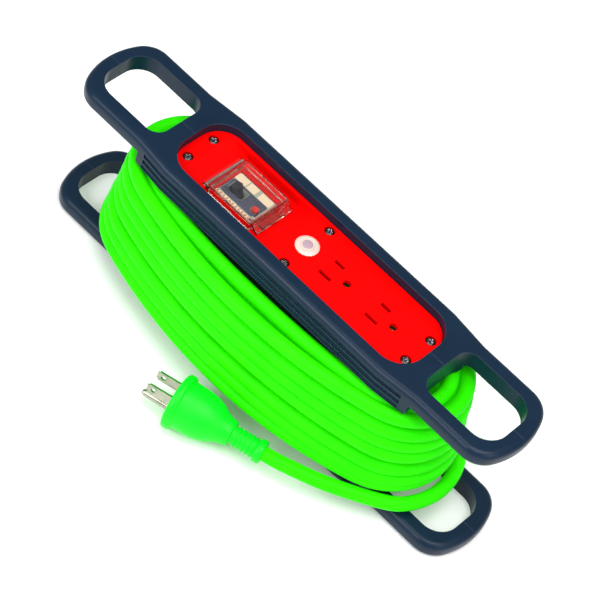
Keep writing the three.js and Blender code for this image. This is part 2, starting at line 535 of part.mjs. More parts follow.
// ---- Breaker --------------------------------------------------------------------------------------------
function buildBreaker() {
  const halfLength = BREAKER_LENGTH / 2;
  const halfWidth = BREAKER_WIDTH / 2;
  const nose = [BREAKER_NOSE_LENGTH / 2, BREAKER_NOSE_WIDTH / 2];
  const bottom = BREAKER_SHOULDER - BREAKER_DEPTH;
  const pivot = BREAKER_FACE - LEVER_PIVOT_DEPTH;
  const body = union(
    slab(roundedRectangle(halfLength, halfWidth, 1.5, [BREAKER_X, 0]), bottom, BREAKER_SHOULDER, { curve: 3 }),
    slab(roundedRectangle(nose[0], nose[1], 1, [BREAKER_X, 0]), BREAKER_SHOULDER - 1, BREAKER_FACE, { curve: 3 }),
  );
  const leverRoom = box(LEVER_X - 6, LEVER_X + 6, -LEVER_WIDTH / 2 - GAP, LEVER_WIDTH / 2 + GAP, pivot - 4,
    BREAKER_FACE + 1);
  const buttonWell = rod(TEST_BUTTON_RADIUS + GAP, TEST_BUTTON_X, TEST_BUTTON_Y, BREAKER_FACE - TEST_BUTTON_LENGTH
    - 2.5, BREAKER_FACE + 1);
  const terminalNotches = [1, -1].flatMap((end) => [1, -1].map((side) => {
    const outer = BREAKER_X + end * (halfLength + 1);
    const inner = BREAKER_X + end * (halfLength - TERMINAL_INSET - TERMINAL_ROOM);
    const width = TERMINAL_ROOM + 1.1;
    return box(Math.min(inner, outer), Math.max(inner, outer), side * 8 - width, side * 8 + width, bottom + 8,
      bottom + 20);
  }));
  addPiece('breaker_case', cut(body, leverRoom, buttonWell, ...terminalNotches), FINISH.breaker);

  const terminal = screw(5);
  [1, -1].flatMap((end) => [1, -1].map((side) => [end, side])).forEach(([end, side], i) => {
    const mesh = addPiece(`breaker_terminal_${i + 1}`, terminal, FINISH.brass);
    mesh.position.set(BREAKER_X + end * (halfLength - TERMINAL_INSET), side * 8, bottom + 8 + GAP + 5);
  });

  const hub = rod(2.6, LEVER_X, pivot, -LEVER_WIDTH / 2, LEVER_WIDTH / 2, { along: 'y' });
  const reach = LEVER_PIVOT_DEPTH + LEVER_HEIGHT;
  const stem = [[-1.6, 0], [1.6, 0], [2.1, reach], [-2.1, reach]];
  const paddle = across(stem, LEVER_WIDTH / 2).rotate([0, -THREE.MathUtils.radToDeg(LEVER_TILT), 0])
    .translate([LEVER_X, 0, pivot]);
  addPiece('breaker_lever', union(hub, paddle), FINISH.lever);

  const button = rod(TEST_BUTTON_RADIUS, TEST_BUTTON_X, TEST_BUTTON_Y, BREAKER_FACE - TEST_BUTTON_LENGTH
    + TEST_BUTTON_RISE, BREAKER_FACE + TEST_BUTTON_RISE, { top: TEST_BUTTON_RADIUS * 0.92 });
  addPiece('breaker_test_button', button, FINISH.testButton);
}

// ---- Breaker cover --------------------------------------------------------------------------------------
function buildCover() {
  const halfLength = (COVER_END - COVER_START) / 2;
  const middle = [(COVER_START + COVER_END) / 2, 0];
  const outline = roundedRectangle(halfLength, COVER_HALF_WIDTH, 2, middle);
  const outer = slab(outline, COVER_BASE, COVER_TOP, { curve: 3 });
  const inner = slab(roundedRectangle(halfLength - COVER_WALL, COVER_HALF_WIDTH - COVER_WALL, 1, middle),
    COVER_BASE - 1, COVER_TOP - COVER_WALL, { curve: 3 });
  const tab = box(COVER_END - 0.5, COVER_END + COVER_TAB_REACH, -9, 9, COVER_BASE, COVER_BASE + 1.2);
  const knuckle = union(
    rod(HINGE_KNUCKLE_RADIUS, HINGE_X, HINGE_Z, -COVER_HALF_WIDTH + 1, COVER_HALF_WIDTH - 1, { along: 'y' }),
    box(HINGE_X, COVER_START + 0.6, -COVER_HALF_WIDTH + 1, COVER_HALF_WIDTH - 1, HINGE_Z - 0.7, HINGE_Z + 0.7),
  );
  const bore = rod(HINGE_PIN_RADIUS + GAP, HINGE_X, HINGE_Z, -COVER_HALF_WIDTH - 5, COVER_HALF_WIDTH + 5,
    { along: 'y', sides: 12 });
  addPiece('breaker_cover', cut(union(cut(outer, inner), tab, knuckle), bore), FINISH.clear);
  addPiece('cover_hinge_pin', rod(HINGE_PIN_RADIUS, HINGE_X, HINGE_Z, -COVER_HALF_WIDTH - 2.4, COVER_HALF_WIDTH + 2.4,
    { along: 'y', sides: 12 }), FINISH.zincSteel);
}

// ---- Pilot lamp -----------------------------------------------------------------------------------------
function lathe(points, sides = 24) {
  const profile = points.map(([r, z]) => new THREE.Vector2(r, z));
  return solid(new THREE.LatheGeometry(profile, sides).rotateX(Math.PI / 2));
}

function buildLamp() {
  const rim = PANEL_TOP + GAP;
  const bore = LAMP_BARREL_RADIUS - 1.4;
  const lens = lathe([
    [0, LAMP_RISE], [LAMP_RADIUS * 0.55, LAMP_RISE], [LAMP_RADIUS * 0.6, LAMP_RISE * 0.8],
    [LAMP_RADIUS * 0.8, LAMP_RISE * 0.85], [LAMP_RADIUS, LAMP_RISE * 0.3], [LAMP_RADIUS, 0],
    [LAMP_BARREL_RADIUS, 0], [LAMP_BARREL_RADIUS, -LAMP_BARREL_DEPTH], [bore, -LAMP_BARREL_DEPTH],
    [bore, -0.8], [0, -0.8],
  ].reverse(), 18);
  addPiece('lamp_lens', lens.translate([LAMP_X, 0, rim]), FINISH.lamp);
  const bulb = lathe([
    [0, -1.6], [1.6, -2.2], [2.2, -3.6], [2.2, -11], [0, -11],
  ].reverse(), 12);
  addPiece('lamp_bulb', bulb.translate([LAMP_X, 0, rim]), FINISH.lamp);
  const nut = cut(
    rod(LAMP_RADIUS, LAMP_X, 0, PANEL_UNDER - GAP - 3, PANEL_UNDER - GAP, { sides: 6 }),
    rod(LAMP_BARREL_RADIUS + GAP, LAMP_X, 0, PANEL_UNDER - 6, PANEL_UNDER + 1, { sides: 24 }),
  );
  addPiece('lamp_nut', nut, FINISH.black);
}

// ---- Cord entry -----------------------------------------------------------------------------------------
// Everything here is drawn along the cord, from the core's near wall inwards, and turned into place.
function alongCord(shape) {
  return shape.rotate([0, 0, CORD_EXIT_ANGLE]).translate([CORD_EXIT_X, -CORE_HALF_WIDTH, CORD_EXIT_Z]);
}

function cordBore(radius, from, to, sides = 16) {
  const geometry = new THREE.CylinderGeometry(radius, radius, to - from, sides);
  return alongCord(solid(geometry.rotateZ(Math.PI / 2).translate((from + to) / 2, 0, 0)));
}

function buildCordEntry() {
  const wallOutline = roundedRectangle(CORE_HALF_LENGTH, CORE_HALF_WIDTH, CORE_END_RADIUS);
  const wall = slab(wallOutline, 0, REEL_HEIGHT);
  const roomLength = CORE_CAVITY_LENGTH - GAP;
  const roomWidth = CORE_CAVITY_WIDTH - GAP;
  const room = slab(roundedRectangle(roomLength, roomWidth, CORE_END_RADIUS - WALL - GAP), 0, REEL_HEIGHT);
  const bush = union(
    cordBore(BUSH_RADIUS, -25, BUSH_LENGTH).intersect(wall),
    cordBore(BUSH_RADIUS + 1.8, BUSH_LENGTH - 8, BUSH_LENGTH - 5).intersect(room),
  );
  addPiece('cord_bush', cut(bush, cordBore(CORD_DIAMETER / 2 + GAP, -30, BUSH_LENGTH + 5)), FINISH.black);
  addPiece('cord_inlet', cordBore(CORD_DIAMETER / 2, -25, CORD_INSIDE, 10).intersect(wall), FINISH.cord);

  const near = CORD_DIAMETER / 2 + GAP;
  const [low, high] = [CLAMP_SCREW_OFFSETS[0] - 4, CLAMP_SCREW_OFFSETS[1] + 4];
  const half = CLAMP_WIDTH / 2;
  const bar = box(CLAMP_REACH - half, CLAMP_REACH + half, near, near + CLAMP_THICKNESS, low, high);
  const holes = CLAMP_SCREW_OFFSETS.map((rise) => rod(HOLE_CLEARANCE, CLAMP_REACH, rise, 0, near + CLAMP_THICKNESS + 1,
    { along: 'y', sides: 8 }));
  addPiece('cord_clamp', alongCord(cut(bar, ...holes)), FINISH.insulator);
  const clampScrew = screw(10).rotate([-90, 0, 0]);
  CLAMP_SCREW_OFFSETS.forEach((rise, i) => {
    const seat = near + CLAMP_THICKNESS + GAP;
    addPiece(`clamp_screw_${i + 1}`, alongCord(clampScrew.translate([CLAMP_REACH, seat, rise])), FINISH.zincSteel);
  });
}

// ---- Leads ----------------------------------------------------------------------------------------------
function roundSection(diameter, sides) {
  const points = Array.from({ length: sides }, (_, i) => {
    const angle = (2 * Math.PI * i) / sides;
    return new THREE.Vector2((Math.cos(angle) * diameter) / 2, (Math.sin(angle) * diameter) / 2);
  });
  return new THREE.Shape(points);
}

function tube(points, diameter, steps, sides) {
  const path = new THREE.CatmullRomCurve3(points.map((p) => new THREE.Vector3(...p)), false, 'centripetal');
  const section = roundSection(diameter, sides);
  return solid(new THREE.ExtrudeGeometry(section, { extrudePath: path, steps, bevelEnabled: false }));
}

// From the end of the cord's jacket to the breaker, from the breaker to the outlets, and straight to the
// earth bus.
function buildLeads() {
  const angle = THREE.MathUtils.degToRad(CORD_EXIT_ANGLE);
  const inside = CORD_INSIDE + GAP;
  const jacket = [
    CORD_EXIT_X + inside * Math.cos(angle), -CORE_HALF_WIDTH + inside * Math.sin(angle), CORD_EXIT_Z,
  ];
  const jacketEnd = (across, rise) => [
    jacket[0] - across * Math.sin(angle), jacket[1] + across * Math.cos(angle), jacket[2] + rise,
  ];
  const further = ([x, y, z], step) => [x + step * Math.cos(angle), y + step * Math.sin(angle), z];
  const bottom = BREAKER_SHOULDER - BREAKER_DEPTH;
  const terminalZ = bottom + 8 + GAP + LEAD_DIAMETER / 2 + 1;
  const terminalX = (end) => BREAKER_X + end * (BREAKER_LENGTH / 2 - TERMINAL_INSET + SCREW_SHANK_RADIUS + GAP);
  const under = bottom - 12;
  const busUnder = BLOCK_TOP - OUTLET_BLOCK_DEPTH;
  const leadIn = (row) => [BUS_ROWS[row].slots[0] + BUS_LEAD_OFFSET, BUS_ROWS[row].y];
  const supply = (side) => {
    const start = jacketEnd(1.7 * side, -1.6);
    return [
      start, further(start, 7), [52, 6 * side, UNDER_CLAMP - LEAD_DIAMETER], [20, 7 * side, under],
      [-20, 8 * side, under - 2], [-60, 8 * side, under], [-80, 8 * side, under + 9],
      [-80, 8 * side, terminalZ - 3], [terminalX(-1), 8 * side, terminalZ],
    ];
  };
  const load = (side, row) => {
    const [x, y] = leadIn(row);
    return [
      [terminalX(1), 8 * side, terminalZ], [-20, 8 * side, terminalZ], [-8, 7.6 * side, terminalZ - 5],
      [6, y, busUnder - 12], [x, y, busUnder - 6], [x, y, busUnder + 1.6],
    ];
  };
  const earthStart = jacketEnd(0, 1.6);
  const [earthX, earthY] = leadIn(1);
  const earth = [
    earthStart, further(earthStart, 6), [57, 3, CORD_EXIT_Z + 5], [44, 5, busUnder - 8],
    [earthX, earthY, busUnder - 6], [earthX, earthY, busUnder + 1.6],
  ];
  addPiece('lead_supply_line', tube(supply(1), LEAD_DIAMETER, 26, 6), FINISH.black);
  addPiece('lead_supply_neutral', tube(supply(-1), LEAD_DIAMETER, 26, 6), FINISH.white);
  addPiece('lead_load_line', tube(load(1, 2), LEAD_DIAMETER, 12, 6), FINISH.black);
  addPiece('lead_load_neutral', tube(load(-1, 0), LEAD_DIAMETER, 12, 6), FINISH.white);
  addPiece('lead_earth', tube(earth, LEAD_DIAMETER, 12, 6), FINISH.earthGreen);
}

// ---- Cord -----------------------------------------------------------------------------------------------
// An oval of four arcs: round ends joined by sides that bow outwards.
function ovalOutline(halfLength, halfWidth, endRadius) {
  const run = halfLength - endRadius;
  const sideRadius = ((run * run) / (halfWidth - endRadius) + endRadius + halfWidth) / 2;
  const drop = sideRadius - halfWidth;
  const meet = Math.atan2(drop, run);
  const shape = new THREE.Shape();
  shape.absarc(run, 0, endRadius, -meet, meet);
  shape.absarc(0, -drop, sideRadius, meet, Math.PI - meet);
  shape.absarc(-run, 0, endRadius, Math.PI - meet, Math.PI + meet);
  shape.absarc(0, drop, sideRadius, Math.PI + meet, 2 * Math.PI - meet);
  return shape;
}

// The free end: it leaves the lowest turn and runs back to the plug.
const TAIL_POINTS = [
  [93, -53, 24.6], [85, -56, 23.2], [76, -59.2, 21.2], [67.6, -61.9, 19], [59.2, -64.4, 17.7],
];

function windingGeometry() {
  const outline = ovalOutline(WINDING_HALF_LENGTH, WINDING_HALF_WIDTH, WINDING_END_RADIUS);
  const [from, to] = [REAR_FLANGE + GAP, FRONT_FLANGE - GAP];
  const geometry = slabGeometry(outline, from, to, { round: CORD_DIAMETER / 2, steps: 2, curve: 7 });
  const positions = geometry.attributes.position;
  for (let i = 0; i < positions.count; i += 1) {
    const height = (positions.getZ(i) - REEL_HEIGHT / 2) / ((to - from) / 2);
    const spread = 1 - WINDING_TAPER * height;
    positions.setX(i, positions.getX(i) * (1 - 0.5 * WINDING_TAPER * height));
    positions.setY(i, positions.getY(i) * spread);
  }
  return geometry;
}

function buildCord() {
  const hole = roundedRectangle(CORE_HALF_LENGTH + 0.6, CORE_HALF_WIDTH + 0.6, CORE_END_RADIUS + 0.6);
  addPiece('cord_winding', cut(solid(windingGeometry()), slab(hole, 0, REEL_HEIGHT)), FINISH.cord);
  addPiece('cord_tail', tube(TAIL_POINTS, CORD_DIAMETER, 5, 10), FINISH.cord);
}

// ---- Plug -----------------------------------------------------------------------------------------------
// Built pointing along +Z from its face, then laid down: its blades point away from the cord.
function buildPlug() {
  const plug = new THREE.Group();
  plug.position.copy(PLUG_FACE);
  plug.rotation.order = 'ZYX';
  plug.rotation.set(0, Math.PI / 2, PLUG_HEADING);
  reel.add(plug);
  const turned = new THREE.Group();
  turned.rotation.z = PLUG_ROLL;
  plug.add(turned);

  const bore = CORD_DIAMETER / 2 + GAP;
  const f = PLUG_FLANGE_RADIUS;
  const shell = [
    [0, 0], [f - 1.2, 0], [f, 1.2], [f, 4.4], [f - 1, 5.4], [f - 2, 5.6], [f - 2.4, 12], [f - 3, 20],
    [f - 4.6, 25], [f - 7.4, 30], [f - 9, 34], [f - 9.8, 38.5], [6.2, 39],
  ];
  const ribs = Array.from({ length: 5 }, (_, i) => {
    const z = 40.2 + i * 2.9;
    return [[5.6, z], [5.6, z + 1.1], [6.4, z + 1.4], [6.4, z + 2.5]];
  }).flat();
  const collar = [
    [5.7, 55], [7.2, 56], [7.2, PLUG_LENGTH - 1], [6.6, PLUG_LENGTH], [bore, PLUG_LENGTH],
    [bore, PLUG_LENGTH - 9], [0, PLUG_LENGTH - 9],
  ];
  const body = lathe([...shell, ...ribs, ...collar], 18);
  const bladeX = BLADE_SPACING / 2;
  const groundY = GROUND_OFFSET;
  const shift = -GROUND_OFFSET / 3; // the pattern sits a little off the middle
  const root = 10; // length of each contact inside the body
  const bladeRoom = (x, half, thick) => box(x - thick / 2 - GAP, x + thick / 2 + GAP, shift - half - GAP,
    shift + half + GAP, -1, root + GAP);
  const pinRoom = rod(GROUND_PIN_RADIUS + GAP, 0, shift + groundY, -1, root + GAP, { sides: 16 });
  const half = BLADE_WIDTH / 2;
  addPiece('plug_body', cut(body, bladeRoom(-bladeX, half, BLADE_THICKNESS), bladeRoom(bladeX, half, BLADE_THICKNESS),
    pinRoom), FINISH.plug, turned);

  const hole = (x) => {
    const geometry = new THREE.CylinderGeometry(BLADE_HOLE_RADIUS, BLADE_HOLE_RADIUS, BLADE_THICKNESS + 2, 12);
    return solid(geometry.rotateZ(Math.PI / 2).translate(x, shift, -BLADE_LENGTH + 4.4));
  };
  [['plug_blade_line', -bladeX], ['plug_blade_neutral', bladeX]].forEach(([name, x]) => {
    const flat = BLADE_THICKNESS / 2;
    const blade = union(
      box(x - flat, x + flat, shift - half, shift + half, -BLADE_LENGTH + 1.2, root),
      box(x - flat * 0.6, x + flat * 0.6, shift - half + 0.9, shift + half - 0.9, -BLADE_LENGTH, 0),
    );
    addPiece(name, cut(blade, hole(x)), FINISH.nickel, turned);
  });
  const pin = union(
    rod(GROUND_PIN_RADIUS, 0, shift + groundY, -GROUND_PIN_LENGTH + 2, root, { sides: 16 }),
    rod(GROUND_PIN_RADIUS * 0.55, 0, shift + groundY, -GROUND_PIN_LENGTH, -GROUND_PIN_LENGTH + 2,
      { sides: 16, top: GROUND_PIN_RADIUS }),
  );
  addPiece('plug_ground_pin', pin, FINISH.nickel, turned);
}

buildCase();
buildPanel();
buildScrews();
buildOutletBlock();
buildBreaker();
buildCover();
buildLamp();
buildCordEntry();
buildLeads();
buildCord();
buildPlug();

export default reel;
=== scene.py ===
"""Looks of the hand-carry cord reel: its materials, cord and refined shells, and the studio it stands in.

Blender's own units are metres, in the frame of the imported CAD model: +Z up, +X along the frames towards
the outlets, and the plug on the -Y side. The reel lies on its rear frame. Sizes of pieces and patterns are
given in millimetres and turned to metres where a mesh, a curve or a node is made.
"""

import json
import logging
import math
from dataclasses import dataclass, field
from enum import Enum
from typing import Any, Sequence

import bmesh
import bpy
from mathutils import Matrix, Vector

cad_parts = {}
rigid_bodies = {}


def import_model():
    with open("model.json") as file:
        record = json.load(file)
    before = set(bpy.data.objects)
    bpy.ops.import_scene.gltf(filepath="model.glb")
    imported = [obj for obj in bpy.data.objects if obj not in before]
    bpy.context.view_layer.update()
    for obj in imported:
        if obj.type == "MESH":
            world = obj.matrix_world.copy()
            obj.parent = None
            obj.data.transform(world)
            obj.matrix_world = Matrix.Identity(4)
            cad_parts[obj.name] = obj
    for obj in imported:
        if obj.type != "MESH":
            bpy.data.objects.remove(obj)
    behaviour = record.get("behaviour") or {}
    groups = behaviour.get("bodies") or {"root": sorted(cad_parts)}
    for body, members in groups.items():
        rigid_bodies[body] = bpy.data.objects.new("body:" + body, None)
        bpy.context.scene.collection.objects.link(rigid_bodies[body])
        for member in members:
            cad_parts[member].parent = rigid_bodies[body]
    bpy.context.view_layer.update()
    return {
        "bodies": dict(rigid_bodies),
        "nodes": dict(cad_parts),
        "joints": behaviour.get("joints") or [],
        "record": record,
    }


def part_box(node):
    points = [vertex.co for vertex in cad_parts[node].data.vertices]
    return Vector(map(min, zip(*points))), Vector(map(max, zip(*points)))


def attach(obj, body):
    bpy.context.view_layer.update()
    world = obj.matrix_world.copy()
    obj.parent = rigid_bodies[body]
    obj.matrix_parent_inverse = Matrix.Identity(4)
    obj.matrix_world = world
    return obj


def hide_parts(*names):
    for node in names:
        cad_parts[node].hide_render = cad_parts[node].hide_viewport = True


LOG = logging.getLogger("cord_reel")
MM = 0.001

Point = tuple[float, float, float]
Colour = tuple[float, float, float, float]
Outline = list[tuple[float, float]]
Frame = dict[str, Any]


# ---- Shader building -------------------------------------------------------------------------------------
MIX_FACTOR, MIX_FIRST, MIX_SECOND, MIX_RESULT = 0, 6, 7, 2  # the colour mixer's sockets
EDGE_GAIN = 4  # at full strength, a normal that leans 41 degrees gets the whole painted highlight


def linear(hex_colour: str) -> Colour:
    """Turns an sRGB hex colour into linear light.

    Args:
        hex_colour: six hex digits after a hash sign.

    Returns:
        Red, green, blue and an alpha of one.
    """
    values = [int(hex_colour[i : i + 2], 16) / 255 for i in (1, 3, 5)]
    light = [v / 12.92 if v <= 0.04045 else ((v + 0.055) / 1.055) ** 2.4 for v in values]
    return (light[0], light[1], light[2], 1.0)


def shade(colour: Colour, factor: float, lift: float = 0.0) -> Colour:
    """Makes a colour darker or lighter.

    Args:
        colour: the linear colour.
        factor: what its light is multiplied by.
        lift: light that is added to every channel.

    Returns:
        The new colour, no brighter than white.
    """
    red, green, blue = (min(1.0, c * factor + lift) for c in colour[:3])
    return (red, green, blue, 1.0)


def per_metre(size_mm: float) -> float:
    """Gives a noise pattern's scale from the size of its features in millimetres."""
    return 1.0 / (size_mm * MM)


@dataclass
class Shader:
    """A material under construction.

    Attributes:
        material: the Blender material.
    """

    material: bpy.types.Material

    @classmethod
    def new(cls, name: str) -> "Shader":
        """Makes a node material with only a principled surface.

        Args:
            name: the material's name.

        Returns:
            The shader.
        """
        material = bpy.data.materials.new(name)
        material.use_nodes = True
        return cls(material)

    def connect(self, node: bpy.types.Node, links: dict[str | int, Any]) -> None:
        """Links sockets to a node's inputs, or sets constants on them.

        Args:
            node: the node that takes the values.
            links: input name or index to an output socket or a constant.
        """
        for key, value in links.items():
            if isinstance(value, bpy.types.NodeSocket):
                self.material.node_tree.links.new(value, node.inputs[key])
            else:
                node.inputs[key].default_value = value

    def add(
        self, kind: str, links: dict[str | int, Any] | None = None, out: str | int = 0, **settings: Any
    ) -> bpy.types.NodeSocket:
        """Adds a node with its settings and links.

        Args:
            kind: the node's type.
            links: input name or index to an output socket or a constant.
            out: name or index of the output that is wanted.
            **settings: the node's own properties.

        Returns:
            The wanted output.
        """
        node = self.material.node_tree.nodes.new(kind)
        for key, value in settings.items():
            setattr(node, key, value)
        self.connect(node, links or {})
        return node.outputs[out]

    def surface(self, links: dict[str | int, Any]) -> None:
        """Sets or links inputs of the principled surface; links maps input names to values."""
        self.connect(self.material.node_tree.nodes["Principled BSDF"], links)

    def mottled(
        self, pattern: bpy.types.NodeSocket, span: tuple[float, float], ends: tuple[Colour, Colour]
    ) -> bpy.types.NodeSocket:
        """Passes from one colour to another as a pattern rises.

        Args:
            pattern: the pattern's value.
            span: the pattern's values where the first colour ends and the second one begins.
            ends: the two colours.

        Returns:
            The mottled colour's socket.
        """
        start, end = span
        first, second = ends
        rise = self.add("ShaderNodeMapRange", {"Value": pattern, "From Min": start, "From Max": end})
        links = {MIX_FACTOR: rise, MIX_FIRST: first, MIX_SECOND: second}
        return self.add("ShaderNodeMix", links, MIX_RESULT, data_type="RGBA")

    def painted_edge_highlight(
        self, soft: bpy.types.NodeSocket, strength: float, colour: bpy.types.NodeSocket, highlight_colour: Colour
    ) -> bpy.types.NodeSocket:
        """Paints a highlight along edges: lightens a colour where the rounded normal leans away from the
        face's own.

        Args:
            soft: the rounded normal.
            strength: how quickly the painted highlight rises from the face to the edge.
            colour: the colour of the faces.
            highlight_colour: the colour of the painted highlight on a full edge.

        Returns:
            The socket of the colour with its painted highlight.
        """
        flat = self.add("ShaderNodeNewGeometry", out="True Normal")
        agreement = self.add("ShaderNodeVectorMath", {0: soft, 1: flat}, "Value", operation="DOT_PRODUCT")
        edge = self.add("ShaderNodeMath", {0: 1.0, 1: agreement}, operation="SUBTRACT")
        gain = EDGE_GAIN * strength
        mask = self.add("ShaderNodeMath", {0: edge, 1: gain}, operation="MULTIPLY", use_clamp=True)
        links = {MIX_FACTOR: mask, MIX_FIRST: colour, MIX_SECOND: highlight_colour}
        return self.add("ShaderNodeMix", links, MIX_RESULT, data_type="RGBA")


@dataclass(frozen=True)
class MouldedPlastic:
    """Injection-moulded plastic: spark texture, faint flow mottling and rounded edges that edge_light
    lightens with a painted highlight.

    Attributes:
        name: the material's name.
        colour: sRGB hex of the resin.
        roughness: how matt the tool left the surface.
        grain_mm: size of the spark texture; real grit of under 0.1 mm is drawn coarser so that it shows.
        grain_height: strength of the spark texture's relief.
        edge_mm: how far edges read as rounded.
        edge_light: how much paler the painted highlight makes an edge.
        coat: weight of a polished skin over the resin.
        specular: strength of the surface's own gloss.
        flow: how much the flow mottling shifts the resin's colour.
        flow_mm: size of the flow mottling.
        smear_mm: size of the patches where handling has polished or dulled the surface.
    """

    name: str
    colour: str
    roughness: float = 0.42
    grain_mm: float = 0.35
    grain_height: float = 0.06
    edge_mm: float = 0.35
    edge_light: float = 0.0
    coat: float = 0.0
    specular: float = 0.5
    flow: float = 0.06
    flow_mm: float = 26.3
    smear_mm: float = 11.1

    def build(self) -> bpy.types.Material:
        """Builds the material.

        Returns:
            The node material.
        """
        s = Shader.new(self.name)
        place = s.add("ShaderNodeTexCoord", out="Object")
        base = linear(self.colour)
        flow = {"Vector": place, "Scale": per_metre(self.flow_mm), "Detail": 3.0}
        ends = (shade(base, 1 - 2 * self.flow), shade(base, 1 + self.flow))
        colour = s.mottled(s.add("ShaderNodeTexNoise", flow), (0.3, 0.7), ends)
        grain = {"Vector": place, "Scale": per_metre(self.grain_mm), "Detail": 2.0}
        smear = {"Vector": place, "Scale": per_metre(self.smear_mm), "Detail": 4.0}
        polish = {"To Min": self.roughness - 0.06, "To Max": self.roughness + 0.08}
        polish["Value"] = s.add("ShaderNodeTexNoise", smear)
        soft = s.add("ShaderNodeBevel", {"Radius": self.edge_mm * MM}, samples=6)
        relief = {"Strength": self.grain_height, "Distance": 0.2 * MM, "Normal": soft}
        relief["Height"] = s.add("ShaderNodeTexNoise", grain)
        # Painted highlight: edges are mixed towards a paler copy of the resin's colour.
        if self.edge_light > 0:
            colour = s.painted_edge_highlight(soft, self.edge_light, colour, shade(base, 3, 0.05))
        s.surface({
            "Base Color": colour,
            "Roughness": s.add("ShaderNodeMapRange", polish),
            "Normal": s.add("ShaderNodeBump", relief),
            "Specular IOR Level": self.specular,
        })
        if self.coat:
            s.surface({"Coat Weight": self.coat, "Coat Roughness": 0.25})
        return s.material


@dataclass(frozen=True)
class CordJacket:
    """Extruded cord jacket: a fluorescent, saturated colour under a faintly pebbled, scuffed skin, and light
    of its own colour painted in as emission, which lifts the shade in its creases.

    Attributes:
        name: the material's name.
        colour: sRGB hex of the compound.
        deep: sRGB hex of its darker patches.
        roughness: base roughness.
        painted_glow: painted light, emitted in the jacket's own colour, which lifts the shade in the creases
            between turns so that they stay green.
        mottle_mm: size of the patches where the pigment is thinner.
        skin_mm: size of the pebbling; the real one is finer, and is drawn coarser so that it shows.
        scuff_mm: size of the scuffed patches.
        bleed_mm: how far light spreads inside the jacket.
    """

    name: str
    colour: str
    deep: str
    roughness: float = 0.46
    painted_glow: float = 0.14
    mottle_mm: float = 18.2
    skin_mm: float = 0.625
    scuff_mm: float = 6.25
    bleed_mm: float = 2.0

    def build(self) -> bpy.types.Material:
        """Builds the material.

        Returns:
            The node material.
        """
        s = Shader.new(self.name)
        place = s.add("ShaderNodeTexCoord", out="Object")
        mottle = {"Vector": place, "Scale": per_metre(self.mottle_mm), "Detail": 4.0}
        skin = {"Vector": place, "Scale": per_metre(self.skin_mm), "Detail": 3.0}
        scuff = {"Vector": place, "Scale": per_metre(self.scuff_mm), "Detail": 5.0}
        ends = (linear(self.deep), linear(self.colour))
        polish = {"To Min": self.roughness - 0.08, "To Max": self.roughness + 0.1}
        polish["Value"] = s.add("ShaderNodeTexNoise", scuff)
        relief = {"Strength": 0.08, "Distance": 0.2 * MM, "Height": s.add("ShaderNodeTexNoise", skin)}
        s.surface({
            "Base Color": s.mottled(s.add("ShaderNodeTexNoise", mottle), (0.32, 0.62), ends),
            "Roughness": s.add("ShaderNodeMapRange", polish),
            "Normal": s.add("ShaderNodeBump", relief),
            "Specular IOR Level": 0.06,
            "Subsurface Weight": 0.12,
            "Subsurface Radius": (0.4, 1.0, 0.15),
            "Subsurface Scale": self.bleed_mm * MM,
            # Painted light: the jacket gives off light in its own colour, which lifts the shade in the
            # creases between turns.
            "Emission Color": linear(self.colour),
            "Emission Strength": self.painted_glow,
        })
        return s.material


@dataclass(frozen=True)
class PlatedMetal:
    """Plated or stamped metal: fine drawing marks, uneven polish and, where edge_light is set, a painted
    highlight on its edges.

    Attributes:
        name: the material's name.
        colour: sRGB hex of the metal.
        roughness: base roughness.
        streak_mm: spacing of the drawing marks.
        cloud_mm: size of the patches of uneven polish.
        edge_mm: how far edges read as rounded.
        edge_light: how brightly the painted highlight on the edges of the head and its recess stands out.
    """

    name: str
    colour: str
    roughness: float = 0.28
    streak_mm: float = 0.25
    cloud_mm: float = 4.55
    edge_mm: float = 0.2
    edge_light: float = 0.0

    def build(self) -> bpy.types.Material:
        """Builds the material.

        Returns:
            The node material.
        """
        s = Shader.new(self.name)
        place = s.add("ShaderNodeTexCoord", out="Object")
        base = linear(self.colour)
        drawn = s.add("ShaderNodeMapping", {"Vector": place, "Scale": (0.06, 1.0, 1.0)})
        streaks = {"Vector": drawn, "Scale": per_metre(self.streak_mm), "Detail": 3.0}
        marks = s.add("ShaderNodeTexNoise", streaks)
        cloud = {"Vector": place, "Scale": per_metre(self.cloud_mm), "Detail": 3.0}
        colour = s.mottled(s.add("ShaderNodeTexNoise", cloud), (0.3, 0.6), (shade(base, 0.72), base))
        soft = s.add("ShaderNodeBevel", {"Radius": self.edge_mm * MM}, samples=6)
        # Painted highlight: edges, such as those of a cross recess, are mixed towards near-white to draw
        # glints.
        if self.edge_light > 0:
            colour = s.painted_edge_highlight(soft, self.edge_light, colour, linear("#F2F2F4"))
        polish = {"Value": marks, "To Min": self.roughness - 0.06, "To Max": self.roughness + 0.16}
        relief = {"Strength": 0.1, "Distance": 0.1 * MM, "Height": marks, "Normal": soft}
        s.surface({
            "Base Color": colour,
            "Metallic": 1.0,
            "Roughness": s.add("ShaderNodeMapRange", polish),
            "Normal": s.add("ShaderNodeBump", relief),
        })
        return s.material


